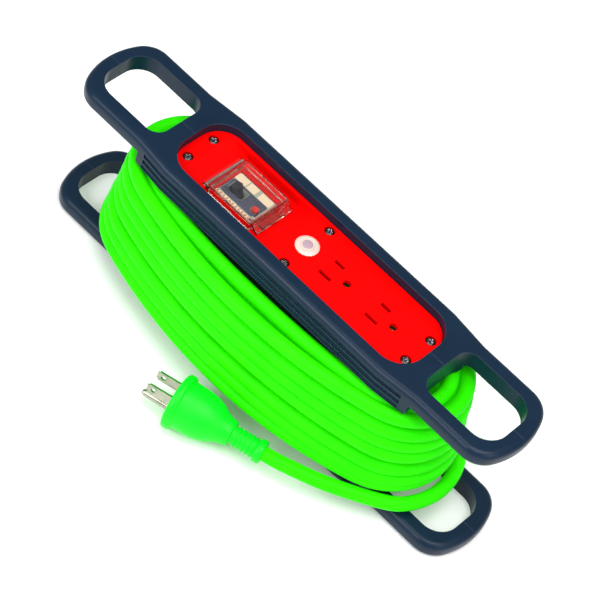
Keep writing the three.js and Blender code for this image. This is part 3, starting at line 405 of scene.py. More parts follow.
@dataclass(frozen=True)
class ClearPlastic:
    """Clear polycarbonate or glass: it lets the parts below show, with a bright rim where it is thick.

    Attributes:
        name: the material's name.
        colour: sRGB hex of the tint.
        roughness: surface roughness.
        ior: refractive index.
        transmission: share of the light that passes through.
        haze_mm: size of the faint waves in the wall.
    """

    name: str
    colour: str
    roughness: float = 0.06
    ior: float = 1.45
    transmission: float = 0.94
    haze_mm: float = 7.14

    def build(self) -> bpy.types.Material:
        """Builds the material.

        Returns:
            The node material.
        """
        s = Shader.new(self.name)
        place = s.add("ShaderNodeTexCoord", out="Object")
        waves = {"Vector": place, "Scale": per_metre(self.haze_mm), "Detail": 3.0}
        haze = s.add("ShaderNodeTexNoise", waves)
        polish = {"Value": haze, "To Min": self.roughness, "To Max": self.roughness + 0.05}
        relief = {"Strength": 0.05, "Distance": 0.3 * MM, "Height": haze}
        s.surface({
            "Base Color": linear(self.colour),
            "Transmission Weight": self.transmission,
            "IOR": self.ior,
            "Roughness": s.add("ShaderNodeMapRange", polish),
            "Normal": s.add("ShaderNodeBump", relief),
        })
        return s.material


class Finish(Enum):
    """Every finish on the reel, by what the real piece is made of and how."""

    # Spark-textured ABS: a deep, even navy with a soft painted highlight along every rim and rib.
    NAVY_MOULDING = MouldedPlastic(
        "navy_spark_textured_moulding", "#0D2134", 0.3, edge_mm=0.6, edge_light=0.5, specular=0.16
    )
    # Satin ABS: a flat, strong red with hardly any reflection, so that slots and screws stand out.
    RED_MOULDING = MouldedPlastic("red_satin_moulding", "#DC0000", 0.42, edge_mm=0.4, specular=0.05)
    # Urea moulding: the breaker's pale grey-green, chalky beside the film and the slate insert.
    BREAKER_MOULDING = MouldedPlastic("breaker_grey_green_moulding", "#B9CFC6", 0.5, grain_mm=0.25)
    # Fine-grained moulding: a slate field that the lever and the red button sit in.
    INSERT_MOULDING = MouldedPlastic("breaker_insert_slate_moulding", "#43526E", 0.45, grain_mm=0.25)
    # Printed film, left blank: cream patches that are smoother than the case round them.
    LABEL_FILM = MouldedPlastic("blank_cream_label_film", "#FFFFE2", 0.55, grain_height=0.02, specular=0.3)
    # Glossier moulding: the lever, darker than the insert, with a soft light along its ridge.
    LEVER_MOULDING = MouldedPlastic("breaker_lever_slate_moulding", "#26324A", 0.40)
    # Small gloss moulding: the one warm point on the breaker.
    BUTTON_MOULDING = MouldedPlastic("test_button_red_moulding", "#D42A24", 0.42)
    # Milky polycarbonate: a pale, polished dome that picks up a warm cast from the panel.
    LAMP_LENS = MouldedPlastic("pilot_lamp_milky_lens", "#D3BBB0", 0.24, grain_height=0.02, coat=0.3)
    # Frosted polycarbonate: the lamp's darker, mauve middle.
    LAMP_DISC = MouldedPlastic("pilot_lamp_frosted_window", "#A58C96", 0.34, grain_mm=0.2, coat=0.2)
    # Compression-moulded thermoset: a dull near-black behind the outlets' slots.
    INSULATOR = MouldedPlastic("black_thermoset_insulator", "#262626", 0.6)
    # Moulded rubber: the darkest and most matt piece, where the cord leaves the core.
    BUSH_RUBBER = MouldedPlastic("black_moulded_rubber_bush", "#161616", 0.7)
    # Overmoulded PVC: a slightly bluer green than the jacket, with rounded ribs.
    PLUG_MOULDING = MouldedPlastic(
        "green_overmoulded_plug", "#08D820", 0.42, grain_mm=0.5, edge_mm=0.5, specular=0.2
    )
    # Extruded PVC insulation: plain satin black, white and green leads inside the core.
    LEAD_BLACK = MouldedPlastic("black_lead_insulation", "#151515", 0.55)
    LEAD_WHITE = MouldedPlastic("white_lead_insulation", "#E2E2DC", 0.55)
    LEAD_GREEN = MouldedPlastic("green_lead_insulation", "#1E8A3A", 0.55)
    # Extruded fluorescent PVC: a strong green with painted emitted light, so that the shade in the creases
    # between turns hardly darkens it.
    CORD = CordJacket("green_extruded_cord_jacket", "#2ADA00", "#24D000")
    # Black-oxide steel: dark screw heads with glints painted on the edges of the head and its cross recess.
    BLACK_STEEL = PlatedMetal("black_oxide_screw_steel", "#3A3A40", 0.3, edge_mm=0.45, edge_light=1.0)
    # Bright zinc: bluish silver on the hidden screws and the hinge pin.
    ZINC_STEEL = PlatedMetal("zinc_plated_steel", "#C4C8CC", 0.32)
    # Stamped brass: the warm strip that shows deep in a slot.
    BRASS = PlatedMetal("stamped_brass_strip", "#C9A24E", 0.3)
    # Nickel on brass: the blades' grey, slightly greenish shine.
    NICKEL = PlatedMetal("nickel_plated_contact", "#A9A999", 0.24)
    # Moulded polycarbonate: a clear lid, faintly warm where its walls are thick.
    CLEAR = ClearPlastic("clear_polycarbonate_cover", "#FFF4EC", 0.03, transmission=1.0)
    # Drawn glass: the lamp's warm little bulb.
    BULB_GLASS = ClearPlastic("neon_bulb_glass", "#FFEBD8")

    def material(self) -> bpy.types.Material:
        """Gives the finish's shared material, made on first use."""
        return bpy.data.materials.get(self.value.name) or self.value.build()


# ---- Mesh helpers ----------------------------------------------------------------------------------------
def in_mm(metres: float) -> float:
    """Turns a length of the frame into millimetres, to the nearest hundredth."""
    return round(metres / MM, 2)


WELD_DISTANCE = 0.002 * MM
FLAT_ANGLE = math.radians(0.4)  # faces that meet at less than this are one face
OPEN_EDGE_ANGLE = 3.2  # what an edge of one face counts as, past half a turn
SHELL_ANGLE, PLATE_ANGLE, TURNED_ANGLE = 32.0, 40.0, 50.0  # degrees; sharper edges stay sharp
SHELL_WEIGHT = 90  # how strongly large faces keep their shading flat


def mesh_object(name: str, mesh: bpy.types.Mesh, finish: Finish) -> bpy.types.Object:
    """Links a mesh as an object with one finish.

    Args:
        name: the piece's name.
        mesh: its mesh.
        finish: its finish.

    Returns:
        The object.
    """
    piece = bpy.data.objects.new(name, mesh)
    bpy.context.scene.collection.objects.link(piece)
    mesh.materials.clear()
    mesh.materials.append(finish.material())
    return piece


def weld(mesh: bpy.types.Mesh, angle: float) -> None:
    """Joins the facets of a mesh and shades it smooth, with sharp edges kept.

    Args:
        mesh: the mesh, changed in place.
        angle: the largest angle in degrees that is shaded smooth.
    """
    bm = bmesh.new()
    bm.from_mesh(mesh)
    bmesh.ops.remove_doubles(bm, verts=bm.verts, dist=WELD_DISTANCE)
    bmesh.ops.dissolve_limit(bm, angle_limit=FLAT_ANGLE, verts=bm.verts, edges=bm.edges)
    for face in bm.faces:
        face.smooth = True
    for edge in bm.edges:
        blunt = edge.calc_face_angle(OPEN_EDGE_ANGLE) < math.radians(angle)
        edge.smooth = len(edge.link_faces) == 2 and blunt
    bm.to_mesh(mesh)
    bm.free()


def mesh_from(name: str, bm: bmesh.types.BMesh) -> bpy.types.Mesh:
    """Turns a mesh under construction into a mesh, and frees it.

    Args:
        name: the mesh's name.
        bm: the mesh under construction.

    Returns:
        The mesh.
    """
    mesh = bpy.data.meshes.new(name)
    bm.to_mesh(mesh)
    bm.free()
    return mesh


def refine(frame: Frame, node: str, name: str, finish: Finish, body: str) -> bpy.types.Object:
    """Stands in for a CAD node with a welded, smoothly shaded copy.

    Args:
        frame: the loaded frame.
        node: the CAD node that it stands for.
        name: the piece's name.
        finish: its finish.
        body: the body that it rides on.

    Returns:
        The piece.
    """
    mesh = frame["nodes"][node].data.copy()
    for attribute in [a for a in mesh.attributes if a.name == "custom_normal"]:
        mesh.attributes.remove(attribute)
    weld(mesh, SHELL_ANGLE)
    piece = mesh_object(name, mesh, finish)
    weighted = piece.modifiers.new("weighted", "WEIGHTED_NORMAL")
    weighted.keep_sharp = True
    weighted.weight = SHELL_WEIGHT
    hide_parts(node)
    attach(piece, body)
    return piece


# ---- Studio ----------------------------------------------------------------------------------------------
@dataclass(frozen=True)
class SoftLamp:
    """A square area lamp that points at the reel.

    Attributes:
        name: its name.
        place: its position.
        size: its side in metres.
        power: its power in watts.
    """

    name: str
    place: Point
    size: float
    power: float

    def hang(self, target: Point) -> None:
        """Hangs the lamp.

        Args:
            target: the point that it is turned to.
        """
        data = bpy.data.lights.new(self.name, "AREA")
        data.size, data.energy = self.size, self.power
        lamp = bpy.data.objects.new(self.name, data)
        bpy.context.scene.collection.objects.link(lamp)
        lamp.location = self.place
        lamp.rotation_mode = "QUATERNION"
        lamp.rotation_quaternion = (Vector(target) - Vector(self.place)).to_track_quat("-Z", "Y")


@dataclass
class Studio:
    """A pale floor, soft light from above and the camera.

    Attributes:
        camera_place: the camera's position.
        sight: the direction that it looks in.
        roll: how far it is turned about its line of sight, in degrees.
        lens_mm: focal length for a 36 mm sensor.
        floor_reach: from the middle of the floor to its edges.
        fibre_mm: size of the faint mottling in the floor's paper.
        room_light: brightness of the even light from all round.
        target: the point that the lamps are turned to.
        lamps: the soft lamps.
    """

    camera_place: Point = (0.4018, -0.7622, 1.1423)
    sight: Point = (-0.2862, 0.5523, -0.7830)
    roll: float = 21.2
    lens_mm: float = 142.6
    floor_reach: float = 3.0
    fibre_mm: float = 16.7
    room_light: float = 0.42
    target: Point = (0.0, 0.0, 0.06)
    lamps: tuple[SoftLamp, ...] = (
        SoftLamp("overhead", (0.35, -0.15, 1.6), 1.2, 26),
        SoftLamp("near_side", (-0.34, -0.95, 0.78), 0.7, 11),
        SoftLamp("end_side", (1.1, -0.2, 0.7), 0.7, 4),
    )

    def make_camera(self) -> None:
        """Puts the camera in place and makes it the scene's."""
        data = bpy.data.cameras.new("camera")
        data.lens = self.lens_mm
        data.clip_start, data.clip_end = 0.05, 20
        camera = bpy.data.objects.new("camera", data)
        bpy.context.scene.collection.objects.link(camera)
        level = Vector(self.sight).normalized().to_track_quat("-Z", "Y")
        roll = Matrix.Rotation(math.radians(self.roll), 4, "Z").to_quaternion()
        camera.rotation_mode = "QUATERNION"
        camera.rotation_quaternion = level @ roll
        camera.location = self.camera_place
        bpy.context.scene.camera = camera

    def make_floor(self) -> None:
        """Lays the floor: pale matt paper, nearly white, that takes a soft shadow."""
        mesh = bpy.data.meshes.new("floor")
        reach = self.floor_reach
        corners = [(-reach, -reach, 0), (reach, -reach, 0), (reach, reach, 0), (-reach, reach, 0)]
        mesh.from_pydata(corners, [], [(0, 1, 2, 3)])
        floor = bpy.data.objects.new("floor", mesh)
        bpy.context.scene.collection.objects.link(floor)
        s = Shader.new("pale_paper_floor")
        place = s.add("ShaderNodeTexCoord", out="Object")
        links = {"Vector": place, "Scale": per_metre(self.fibre_mm), "Detail": 4.0}
        fibre = s.add("ShaderNodeTexNoise", links)
        paper = s.mottled(fibre, (0.2, 0.8), (linear("#F4F4F4"), linear("#F8F8F8")))
        s.surface({"Base Color": paper, "Roughness": 0.9})
        mesh.materials.append(s.material)

    def make_light(self) -> None:
        """Lights the room evenly and hangs the lamps."""
        world = bpy.data.worlds.new("studio")
        world.use_nodes = True
        sky = world.node_tree.nodes["Background"].inputs
        sky["Color"].default_value = (1, 1, 1, 1)
        sky["Strength"].default_value = self.room_light
        bpy.context.scene.world = world
        for lamp in self.lamps:
            lamp.hang(self.target)
        bpy.context.scene.view_settings.view_transform = "Standard"

    def build(self) -> None:
        """Makes the camera, the floor and the lights."""
        self.make_camera()
        self.make_floor()
        self.make_light()


# ---- Cord ------------------------------------------------------------------------------------------------
@dataclass(frozen=True)
class Oval:
    """A closed outline of four arcs, in millimetres: round ends joined by sides that bow outwards.

    Attributes:
        half_length: from the middle to an end.
        half_width: from the middle to a side.
        end_radius: radius of the round ends.
    """

    half_length: float
    half_width: float
    end_radius: float

    def at(self, turn: float) -> tuple[float, float]:
        """Gives a point by the share of the way round, clockwise from the outlets' end over the near side.

        Args:
            turn: the share of a full turn.

        Returns:
            x and y.
        """
        run = self.half_length - self.end_radius
        rise = self.half_width - self.end_radius
        side_radius = ((run * run) / rise + self.end_radius + self.half_width) / 2
        drop = side_radius - self.half_width
        meet = math.atan2(drop, run)
        end_arc = self.end_radius * meet
        side_arc = side_radius * (math.pi / 2 - meet)
        quarter = end_arc + side_arc
        travelled = (turn % 1.0) * 4 * quarter
        part, along = divmod(travelled, quarter)
        along = along if part % 2 == 0 else quarter - along
        if along <= end_arc:
            angle = along / self.end_radius
            x, y = run + self.end_radius * math.cos(angle), self.end_radius * math.sin(angle)
        else:
            angle = meet + (along - end_arc) / side_radius
            x, y = side_radius * math.cos(angle), side_radius * math.sin(angle) - drop
        signs = {0: (1, -1), 1: (-1, -1), 2: (-1, 1), 3: (1, 1)}[int(part) % 4]
        return x * signs[0], y * signs[1]


def smooth(value: float) -> float:
    """Eases from 0 to 1.

    Args:
        value: progress; outside 0..1 it is held.

    Returns:
        The eased progress.
    """
    t = min(1.0, max(0.0, value))
    return t * t * (3 - 2 * t)


@dataclass(frozen=True)
class Layer:
    """One layer of turns.

    Attributes:
        outline: its centreline half way between the frames.
        taper: how much of the winding's taper it has.
        rows: heights of its turns in millimetres, in the order they are laid.
    """

    outline: Oval
    taper: float
    rows: tuple[float, ...]


@dataclass(frozen=True)
class Wave:
    """One of the waves that winding by hand leaves in the turns.

    Attributes:
        reach: how far it strays, in millimetres.
        rate: radians of the wave for each turn.
        phase: where it starts, in radians.
    """

    reach: float
    rate: float
    phase: float = 0.0

    def at(self, turn: float) -> float:
        """Gives how far it strays at a place in the winding, in millimetres."""
        return self.reach * math.sin(turn * self.rate + self.phase)


@dataclass(frozen=True)
class Crossing:
    """A stretch where the cord passes to its next row.

    Attributes:
        start: the turn where it begins.
        stop: the turn where it ends.
        row: the height that it leads to.
        depth: the layer that it leads to; 0 is the inner one.
    """

    start: float
    stop: float
    row: float
    depth: float


@dataclass
class Cord:
    """The whole cord: out of the core, round it in three layers, and off to its plug. In millimetres.

    Attributes:
        diameter: the jacket's diameter.
        length_m: the cord's real length in metres; not used.
        middle_height: height half way between the frames.
        half_span: from there to the outermost rows.
        end_taper: how much of its length the outer layer loses from that height to the front rows.
        side_taper: the same for its width.
        exit_place: the middle of the hole where the cord leaves the core.
        exit_angle: angle between the cord and the core's wall there, in degrees.
        mouth: from that hole back to where the cord comes out of its bush; not used.
        inside: distances from the hole back to the points inside the core.
        bend_radius: radius of the bend that lays the cord against the core.
        bend_shares: the points on that bend, as shares of its angle.
        step: distance between the points on the winding.
        inner_turn: length of a turn of the inner layer.
        layer_gain: how much longer each further layer's turns are.
        first_turn: where on its first turn the cord meets the winding.
        last_turn: how far it goes past its last full turn.
        crossing: the shares of a turn between which it passes to the next row.
        last_crossing: the same for the last row, which it takes late.
        rising_depth: where the middle layer's last row lies, already part of the way out.
        leaving: the share of a turn over which it comes away from the winding.
        leaving_out: how far it comes out there.
        leaving_down: how far it drops there.
        sway: the waves in and out.
        bob: the wave up and down.
        layers: the layers, from the inside.
        tail: the points between the winding and the plug.
        plug_end: the last point, inside the plug.
    """

    diameter: float = 9.0
    length_m: float = 10.0
    middle_height: float = 55.5
    half_span: float = 34.3
    end_taper: float = 0.035
    side_taper: float = 0.07
    exit_place: Point = (20.0, -25.0, 72.0)
    exit_angle: float = 30.0
    mouth: float = 8.0
    inside: tuple[float, ...] = (36.0, 28.0, 20.0, 12.0, 5.0, 0.0)
    bend_radius: float = 40.0
    bend_shares: tuple[float, ...] = (0.33, 0.66)
    step: float = 9.0
    inner_turn: float = 480.0
    layer_gain: float = 63.0
    first_turn: float = 0.25
    last_turn: float = 0.055
    crossing: tuple[float, float] = (0.56, 0.94)
    last_crossing: tuple[float, float] = (0.9, 1.2)
    rising_depth: float = 0.75
    leaving: float = 0.3
    leaving_out: float = 7.2
    leaving_down: float = 5.6
    sway: tuple[Wave, ...] = (Wave(0.22, 9.1), Wave(0.16, 23.7, 1.0))
    bob: Wave = Wave(0.12, 14.3)
    layers: tuple[Layer, ...] = (
        Layer(Oval(105.8, 30.4, 25.3), 0.0, (72.0, 60.2, 48.4, 36.8, 25.5)),
        Layer(Oval(116.9, 39.8, 32.4), 0.4, (31.2, 42.4, 54.2, 66.0, 75.8, 85.2)),
        Layer(Oval(127.4, 52.0, 39.0), 1.0, (85.6, 73.8, 64.7, 55.6, 43.6, 34.5, 25.4)),
    )
    tail: tuple[Point, ...] = (
        (93.0, -52.2, 19.6),
        (85.0, -55.4, 19.3),
        (76.0, -58.9, 18.8),
        (67.6, -61.9, 18.2),
        (59.2, -64.6, 17.7),
    )
    plug_end: Point = (48.5, -67.1, 17.6)

    def _on_layer(self, depth: float, turn: float, height: float) -> Point:
        """Gives a point on the winding.

        Args:
            depth: 0 on the inner layer, 2 on the outer one, and between them on a crossing.
            turn: the share of the way round.
            height: the height.

        Returns:
            The point.
        """
        low = min(int(depth), len(self.layers) - 2)
        share = depth - low
        inner, outer = self.layers[low], self.layers[low + 1]
        ax, ay = inner.outline.at(turn)
        bx, by = outer.outline.at(turn)
        taper = inner.taper + (outer.taper - inner.taper) * share
        rise = taper * (height - self.middle_height) / self.half_span
        x = (ax + (bx - ax) * share) * (1 - self.end_taper * rise)
        y = (ay + (by - ay) * share) * (1 - self.side_taper * rise)
        return (x, y, height)

    def _crossings(self) -> list[Crossing]:
        """Lists the crossings from each row to the next.

        Returns:
            The crossings, in the order they are laid.
        """
        places = [(depth, row) for depth, layer in enumerate(self.layers) for row in layer.rows][1:]
        middle_end = self.layers[1].rows[-1]
        crossings = []
        for turn, (depth, row) in enumerate(places):
            start, stop = self.last_crossing if turn == len(places) - 1 else self.crossing
            reached = self.rising_depth if depth == 1 and row == middle_end else float(depth)
            crossings.append(Crossing(turn + start, turn + stop, row, reached))
        return crossings

    def _wound(self) -> list[Point]:
        """Lays the turns, from where the cord has left the core to where it leaves the winding.

        Returns:
            The points.
        """
        crossings = self._crossings()
        total = len(crossings) + 1
        points: list[Point] = []
        turn = self.first_turn
        while turn < total + self.last_turn:
            height, depth = self.layers[0].rows[0], 0.0
            for crossing in crossings:
                share = smooth((turn - crossing.start) / (crossing.stop - crossing.start))
                height += (crossing.row - height) * share
                depth += (crossing.depth - depth) * share
            x, y, z = self._on_layer(depth, turn, height)
            away = smooth((turn - (total - self.leaving)) / self.leaving)
            out = self.leaving_out * away + sum(wave.at(turn) for wave in self.sway)
            grow = 1 + out / math.hypot(x, y)
            points.append((x * grow, y * grow, z - self.leaving_down * away + self.bob.at(turn)))
            turn += self.step / (self.inner_turn + self.layer_gain * depth)
        return points

    def route(self) -> list[Point]:
        """Lays out the whole centreline.

        Returns:
            The points in metres, from inside the core to inside the plug.
        """
        angle = math.radians(self.exit_angle)
        back = (math.cos(angle), math.sin(angle))
        ex, ey, ez = self.exit_place
        points = [(ex + back[0] * d, ey + back[1] * d, ez) for d in self.inside]
        for share in self.bend_shares:
            left = angle * (1 - share)
            along = self.bend_radius * (math.sin(angle) - math.sin(left))
            down = self.bend_radius * (math.cos(left) - math.cos(angle))
            points.append((ex - along, ey - down, ez))
        points += self._wound() + [*self.tail, self.plug_end]
        return [(x * MM, y * MM, z * MM) for x, y, z in points]

    def _curve(self) -> bpy.types.Object:
        """Draws the route as one smooth curve with the jacket's thickness.

        Returns:
            The curve's object.
        """
        curve = bpy.data.curves.new("cord", "CURVE")
        curve.dimensions = "3D"
        curve.bevel_depth = self.diameter / 2 * MM
        curve.bevel_resolution = 6
        curve.resolution_u = 3
        curve.use_fill_caps = True
        route = self.route()
        spline = curve.splines.new("NURBS")
        spline.points.add(len(route) - 1)
        for point, place in zip(spline.points, route):
            point.co = (*place, 1.0)
        spline.order_u = 4
        spline.use_endpoint_u = True
        spline.use_smooth = True
        curve.materials.append(Finish.CORD.material())
        cord = bpy.data.objects.new("cord", curve)
        bpy.context.scene.collection.objects.link(cord)
        return cord

    def build(self, pieces_on_it: Sequence[bpy.types.Object]) -> bpy.types.Object:
        """Makes the cord, puts it on the reel and hides the CAD cord nodes.

        Args:
            pieces_on_it: its plug's pieces; not used.

        Returns:
            The cord.
        """
        cord = self._curve()
        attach(cord, "reel")
        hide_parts("cord_winding", "cord_tail", "cord_inlet")
        return cord


# ---- Plug ------------------------------------------------------------------------------------------------
def lathe(name: str, profile: Sequence[tuple[float, float]], sides: int, finish: Finish) -> bpy.types.Object:
    """Turns a profile about Z into a closed piece.

    Args:
        name: the piece's name.
        profile: radius and height of each point in millimetres; it starts and ends on the axis, or
            closes on itself.
        sides: how many sides the turned piece has.
        finish: its finish.

    Returns:
        The piece, smooth shaded.
    """
    bm = bmesh.new()
    rings: list[list[bmesh.types.BMVert]] = []
    for radius, height in profile:
        turns = [2 * math.pi * i / sides for i in range(sides)] if radius > 0 else [0.0]
        r, z = radius * MM, height * MM
        rings.append([bm.verts.new((r * math.cos(t), r * math.sin(t), z)) for t in turns])
    for low, high in zip(rings, rings[1:]):
        for i in range(sides):
            j = (i + 1) % sides
            corners = [low[i % len(low)], low[j % len(low)], high[j % len(high)], high[i % len(high)]]
            unique = list(dict.fromkeys(corners))
            if len(unique) >= 3:
                bm.faces.new(unique)
    bmesh.ops.recalc_face_normals(bm, faces=bm.faces)
    mesh = mesh_from(name, bm)
    weld(mesh, TURNED_ANGLE)
    return mesh_object(name, mesh, finish)


@dataclass
class Plug:
    """The grounded plug: an overmoulded body with a ribbed strain relief, two blades and a ground pin.

    Attributes:
        face: the middle of its face, in millimetres.
        heading: the direction from the face back to the cord, in degrees.
        flange: radius of its face.
        length: from its face to the end of its strain relief.
        ribs: how many ribs the strain relief has.
        first_rib: from the face to the first groove.
        rib_pitch: from one groove to the next.
        bore: radius of the hole that the cord goes into.
        bore_depth: its depth.
        sides: how many sides the turned body has.
        contacts: the CAD nodes of its contacts.
    """

    face: Point = (-2.7, -80.9, 17.6)
    heading: float = 15.1
    flange: float = 17.5
    length: float = 60.0
    ribs: int = 5
    first_rib: float = 40.2
    rib_pitch: float = 2.9
    bore: float = 4.6
    bore_depth: float = 3.0
    sides: int = 72
    contacts: tuple[str, ...] = ("plug_blade_line", "plug_blade_neutral", "plug_ground_pin")

    def _profile(self) -> Outline:
        """Draws the body's profile.

        Returns:
            Radius and height of each point, from its face to the end of its strain relief.
        """
        f = self.flange
        rim = [(0.0, 0.0), (f - 1.6, 0.0), (f - 0.6, 0.35), (f, 1.3), (f, 4.2), (f - 0.5, 5.1)]
        grip = [(f - 1.4, 5.5), (f - 2.1, 5.6), (f - 2.2, 6.4), (f - 2.4, 12.0), (f - 2.8, 18.0)]
        shoulder = [(f - 3.6, 22.5), (f - 5.0, 26.4), (f - 6.8, 29.6), (f - 8.4, 32.6), (f - 9.2, 35.6)]
        neck = [(f - 9.5, 38.2), (f - 9.9, 38.8), (6.6, 39.0), (5.7, 39.2)]
        relief: Outline = []
        for i in range(self.ribs):
            z = self.first_rib + i * self.rib_pitch
            relief += [(5.5, z), (5.5, z + 0.9), (6.25, z + 1.1)]
            relief += [(6.4, z + 1.35), (6.4, z + 2.2), (6.2, z + 2.45)]
        floor = self.length - self.bore_depth
        collar = [(5.6, 54.9), (5.8, 55.4), (7.0, 55.7), (7.3, 56.1), (7.3, self.length - 0.6)]
        hole = [(7.0, self.length), (self.bore, self.length), (self.bore, floor), (0.0, floor)]
        return rim + grip + shoulder + neck + relief + collar + hole

    def build(self, frame: Frame) -> list[bpy.types.Object]:
        """Makes the body and dresses the contacts.

        Args:
            frame: the loaded frame.

        Returns:
            The plug's pieces.
        """
        body = lathe("plug_moulding", self._profile(), self.sides, Finish.PLUG_MOULDING)
        turn = Matrix.Rotation(math.radians(self.heading), 4, "Z") @ Matrix.Rotation(math.pi / 2, 4, "Y")
        body.data.transform(Matrix.Translation(Vector(self.face) * MM) @ turn)
        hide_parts("plug_body")
        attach(body, "reel")
        plated = [refine(frame, node, node + "_plated", Finish.NICKEL, "reel") for node in self.contacts]
        return [body, *plated]


# ---- Reel ------------------------------------------------------------------------------------------------
@dataclass
class Shells:
    """The two case halves, the outlet panel and everything fixed to them.

    Attributes:
        finishes: the finish of each CAD node that has one of its own.
        groups: the finish of nodes whose names start or end with a word.
    """

    finishes: dict[str, Finish] = field(
        default_factory=lambda: {
            "case_half_near": Finish.NAVY_MOULDING,
            "case_half_far": Finish.NAVY_MOULDING,
            "outlet_panel": Finish.RED_MOULDING,
            "outlet_block": Finish.INSULATOR,
            "cord_clamp": Finish.INSULATOR,
            "cord_bush": Finish.BUSH_RUBBER,
            "lamp_lens": Finish.LAMP_LENS,
            "lamp_bulb": Finish.BULB_GLASS,
            "lamp_nut": Finish.INSULATOR,
            "cover_hinge_pin": Finish.ZINC_STEEL,
            "lead_supply_line": Finish.LEAD_BLACK,
            "lead_load_line": Finish.LEAD_BLACK,
            "lead_supply_neutral": Finish.LEAD_WHITE,
            "lead_load_neutral": Finish.LEAD_WHITE,
            "lead_earth": Finish.LEAD_GREEN,
        }
    )
    groups: dict[str, Finish] = field(
        default_factory=lambda: {
            "panel_screw": Finish.BLACK_STEEL,
            "case_screw": Finish.ZINC_STEEL,
            "block_screw": Finish.ZINC_STEEL,
            "clamp_screw": Finish.ZINC_STEEL,
            "breaker_terminal": Finish.BRASS,
            "bus": Finish.BRASS,
        }
    )

    def _finish(self, node: str) -> Finish | None:
        """Finds a node's finish.

        Args:
            node: the CAD node.

        Returns:
            Its finish, or None where another class dresses it.
        """
        if node in self.finishes:
            return self.finishes[node]
        fitting = [f for word, f in self.groups.items() if node.startswith(word) or node.endswith(word)]
        return fitting[0] if fitting else None

    def build(self, frame: Frame) -> list[bpy.types.Object]:
        """Stands a refined piece in for every fixed node.

        Args:
            frame: the loaded frame.

        Returns:
            The pieces.
        """
        pieces = []
        for node in sorted(frame["nodes"]):
            finish = self._finish(node)
            if finish is not None:
                pieces.append(refine(frame, node, node + "_shell", finish, "reel"))
        return pieces


CORNER_STEPS = 5
HOLE_SIDES = 32


@dataclass(frozen=True)
class Patch:
    """A rectangle with round corners, in millimetres.

    Attributes:
        left: its lowest X.
        right: its highest X.
        near: its lowest Y.
        far: its highest Y.
        radius: its corners' radius.
    """

    left: float
    right: float
    near: float
    far: float
    radius: float

    def outline(self, shift: float) -> Outline:
        """Draws the rectangle counter-clockwise.

        Args:
            shift: how far it is moved along X.

        Returns:
            The outline's points.
        """
        left, right = self.left + shift + self.radius, self.right + shift - self.radius
        near, far = self.near + self.radius, self.far - self.radius
        points = []
        for quarter, (cx, cy) in enumerate(((right, far), (left, far), (left, near), (right, near))):
            for i in range(CORNER_STEPS + 1):
                angle = math.pi / 2 * (quarter + i / CORNER_STEPS)
                points.append((cx + self.radius * math.cos(angle), cy + self.radius * math.sin(angle)))
        return points


def circle(x: float, y: float, radius: float) -> Outline:
    """Draws a circle.

    Args:
        x: its middle.
        y: its middle.
        radius: its radius.

    Returns:
        The outline's points.
    """
    turns = [2 * math.pi * i / HOLE_SIDES for i in range(HOLE_SIDES)]
    return [(x + radius * math.cos(t), y + radius * math.sin(t)) for t in turns]


@dataclass(frozen=True)
class Plate:
    """A kind of plate: where it lies, its edges and its finish. Heights are in millimetres.

    Attributes:
        low: its underside's height.
        high: its top's height.
        finish: its finish.
        body: the body that it rides on.
        slot: the record's material slot; not used.
        chamfer: width of its broken edges.
    """

    low: float
    high: float
    finish: Finish
    body: str
    slot: str
    chamfer: float = 0.15

    def cut(self, name: str, *loops: Outline) -> bpy.types.Object:
        """Makes a plate from an outline and the holes in it.

        Args:
            name: the piece's name.
            *loops: the outline first, then its holes, in millimetres.

        Returns:
            The plate.
        """
        bm = bmesh.new()
        edges = []
        for loop in loops:
            verts = [bm.verts.new((x * MM, y * MM, self.low * MM)) for x, y in loop]
            edges += [bm.edges.new((verts[i], verts[(i + 1) % len(verts)])) for i in range(len(verts))]
        bmesh.ops.triangle_fill(bm, use_beauty=True, use_dissolve=False, edges=edges)
        top = bmesh.ops.extrude_face_region(bm, geom=list(bm.faces))["geom"]
        raised = [v for v in top if isinstance(v, bmesh.types.BMVert)]
        bmesh.ops.translate(bm, verts=raised, vec=(0, 0, (self.high - self.low) * MM))
        bmesh.ops.recalc_face_normals(bm, faces=bm.faces)
        mesh = mesh_from(name, bm)
        weld(mesh, PLATE_ANGLE)
        piece = mesh_object(name, mesh, self.finish)
        bevel = piece.modifiers.new("edges", "BEVEL")
        bevel.width, bevel.segments, bevel.limit_method = self.chamfer * MM, 2, "ANGLE"
        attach(piece, self.body)
        return piece


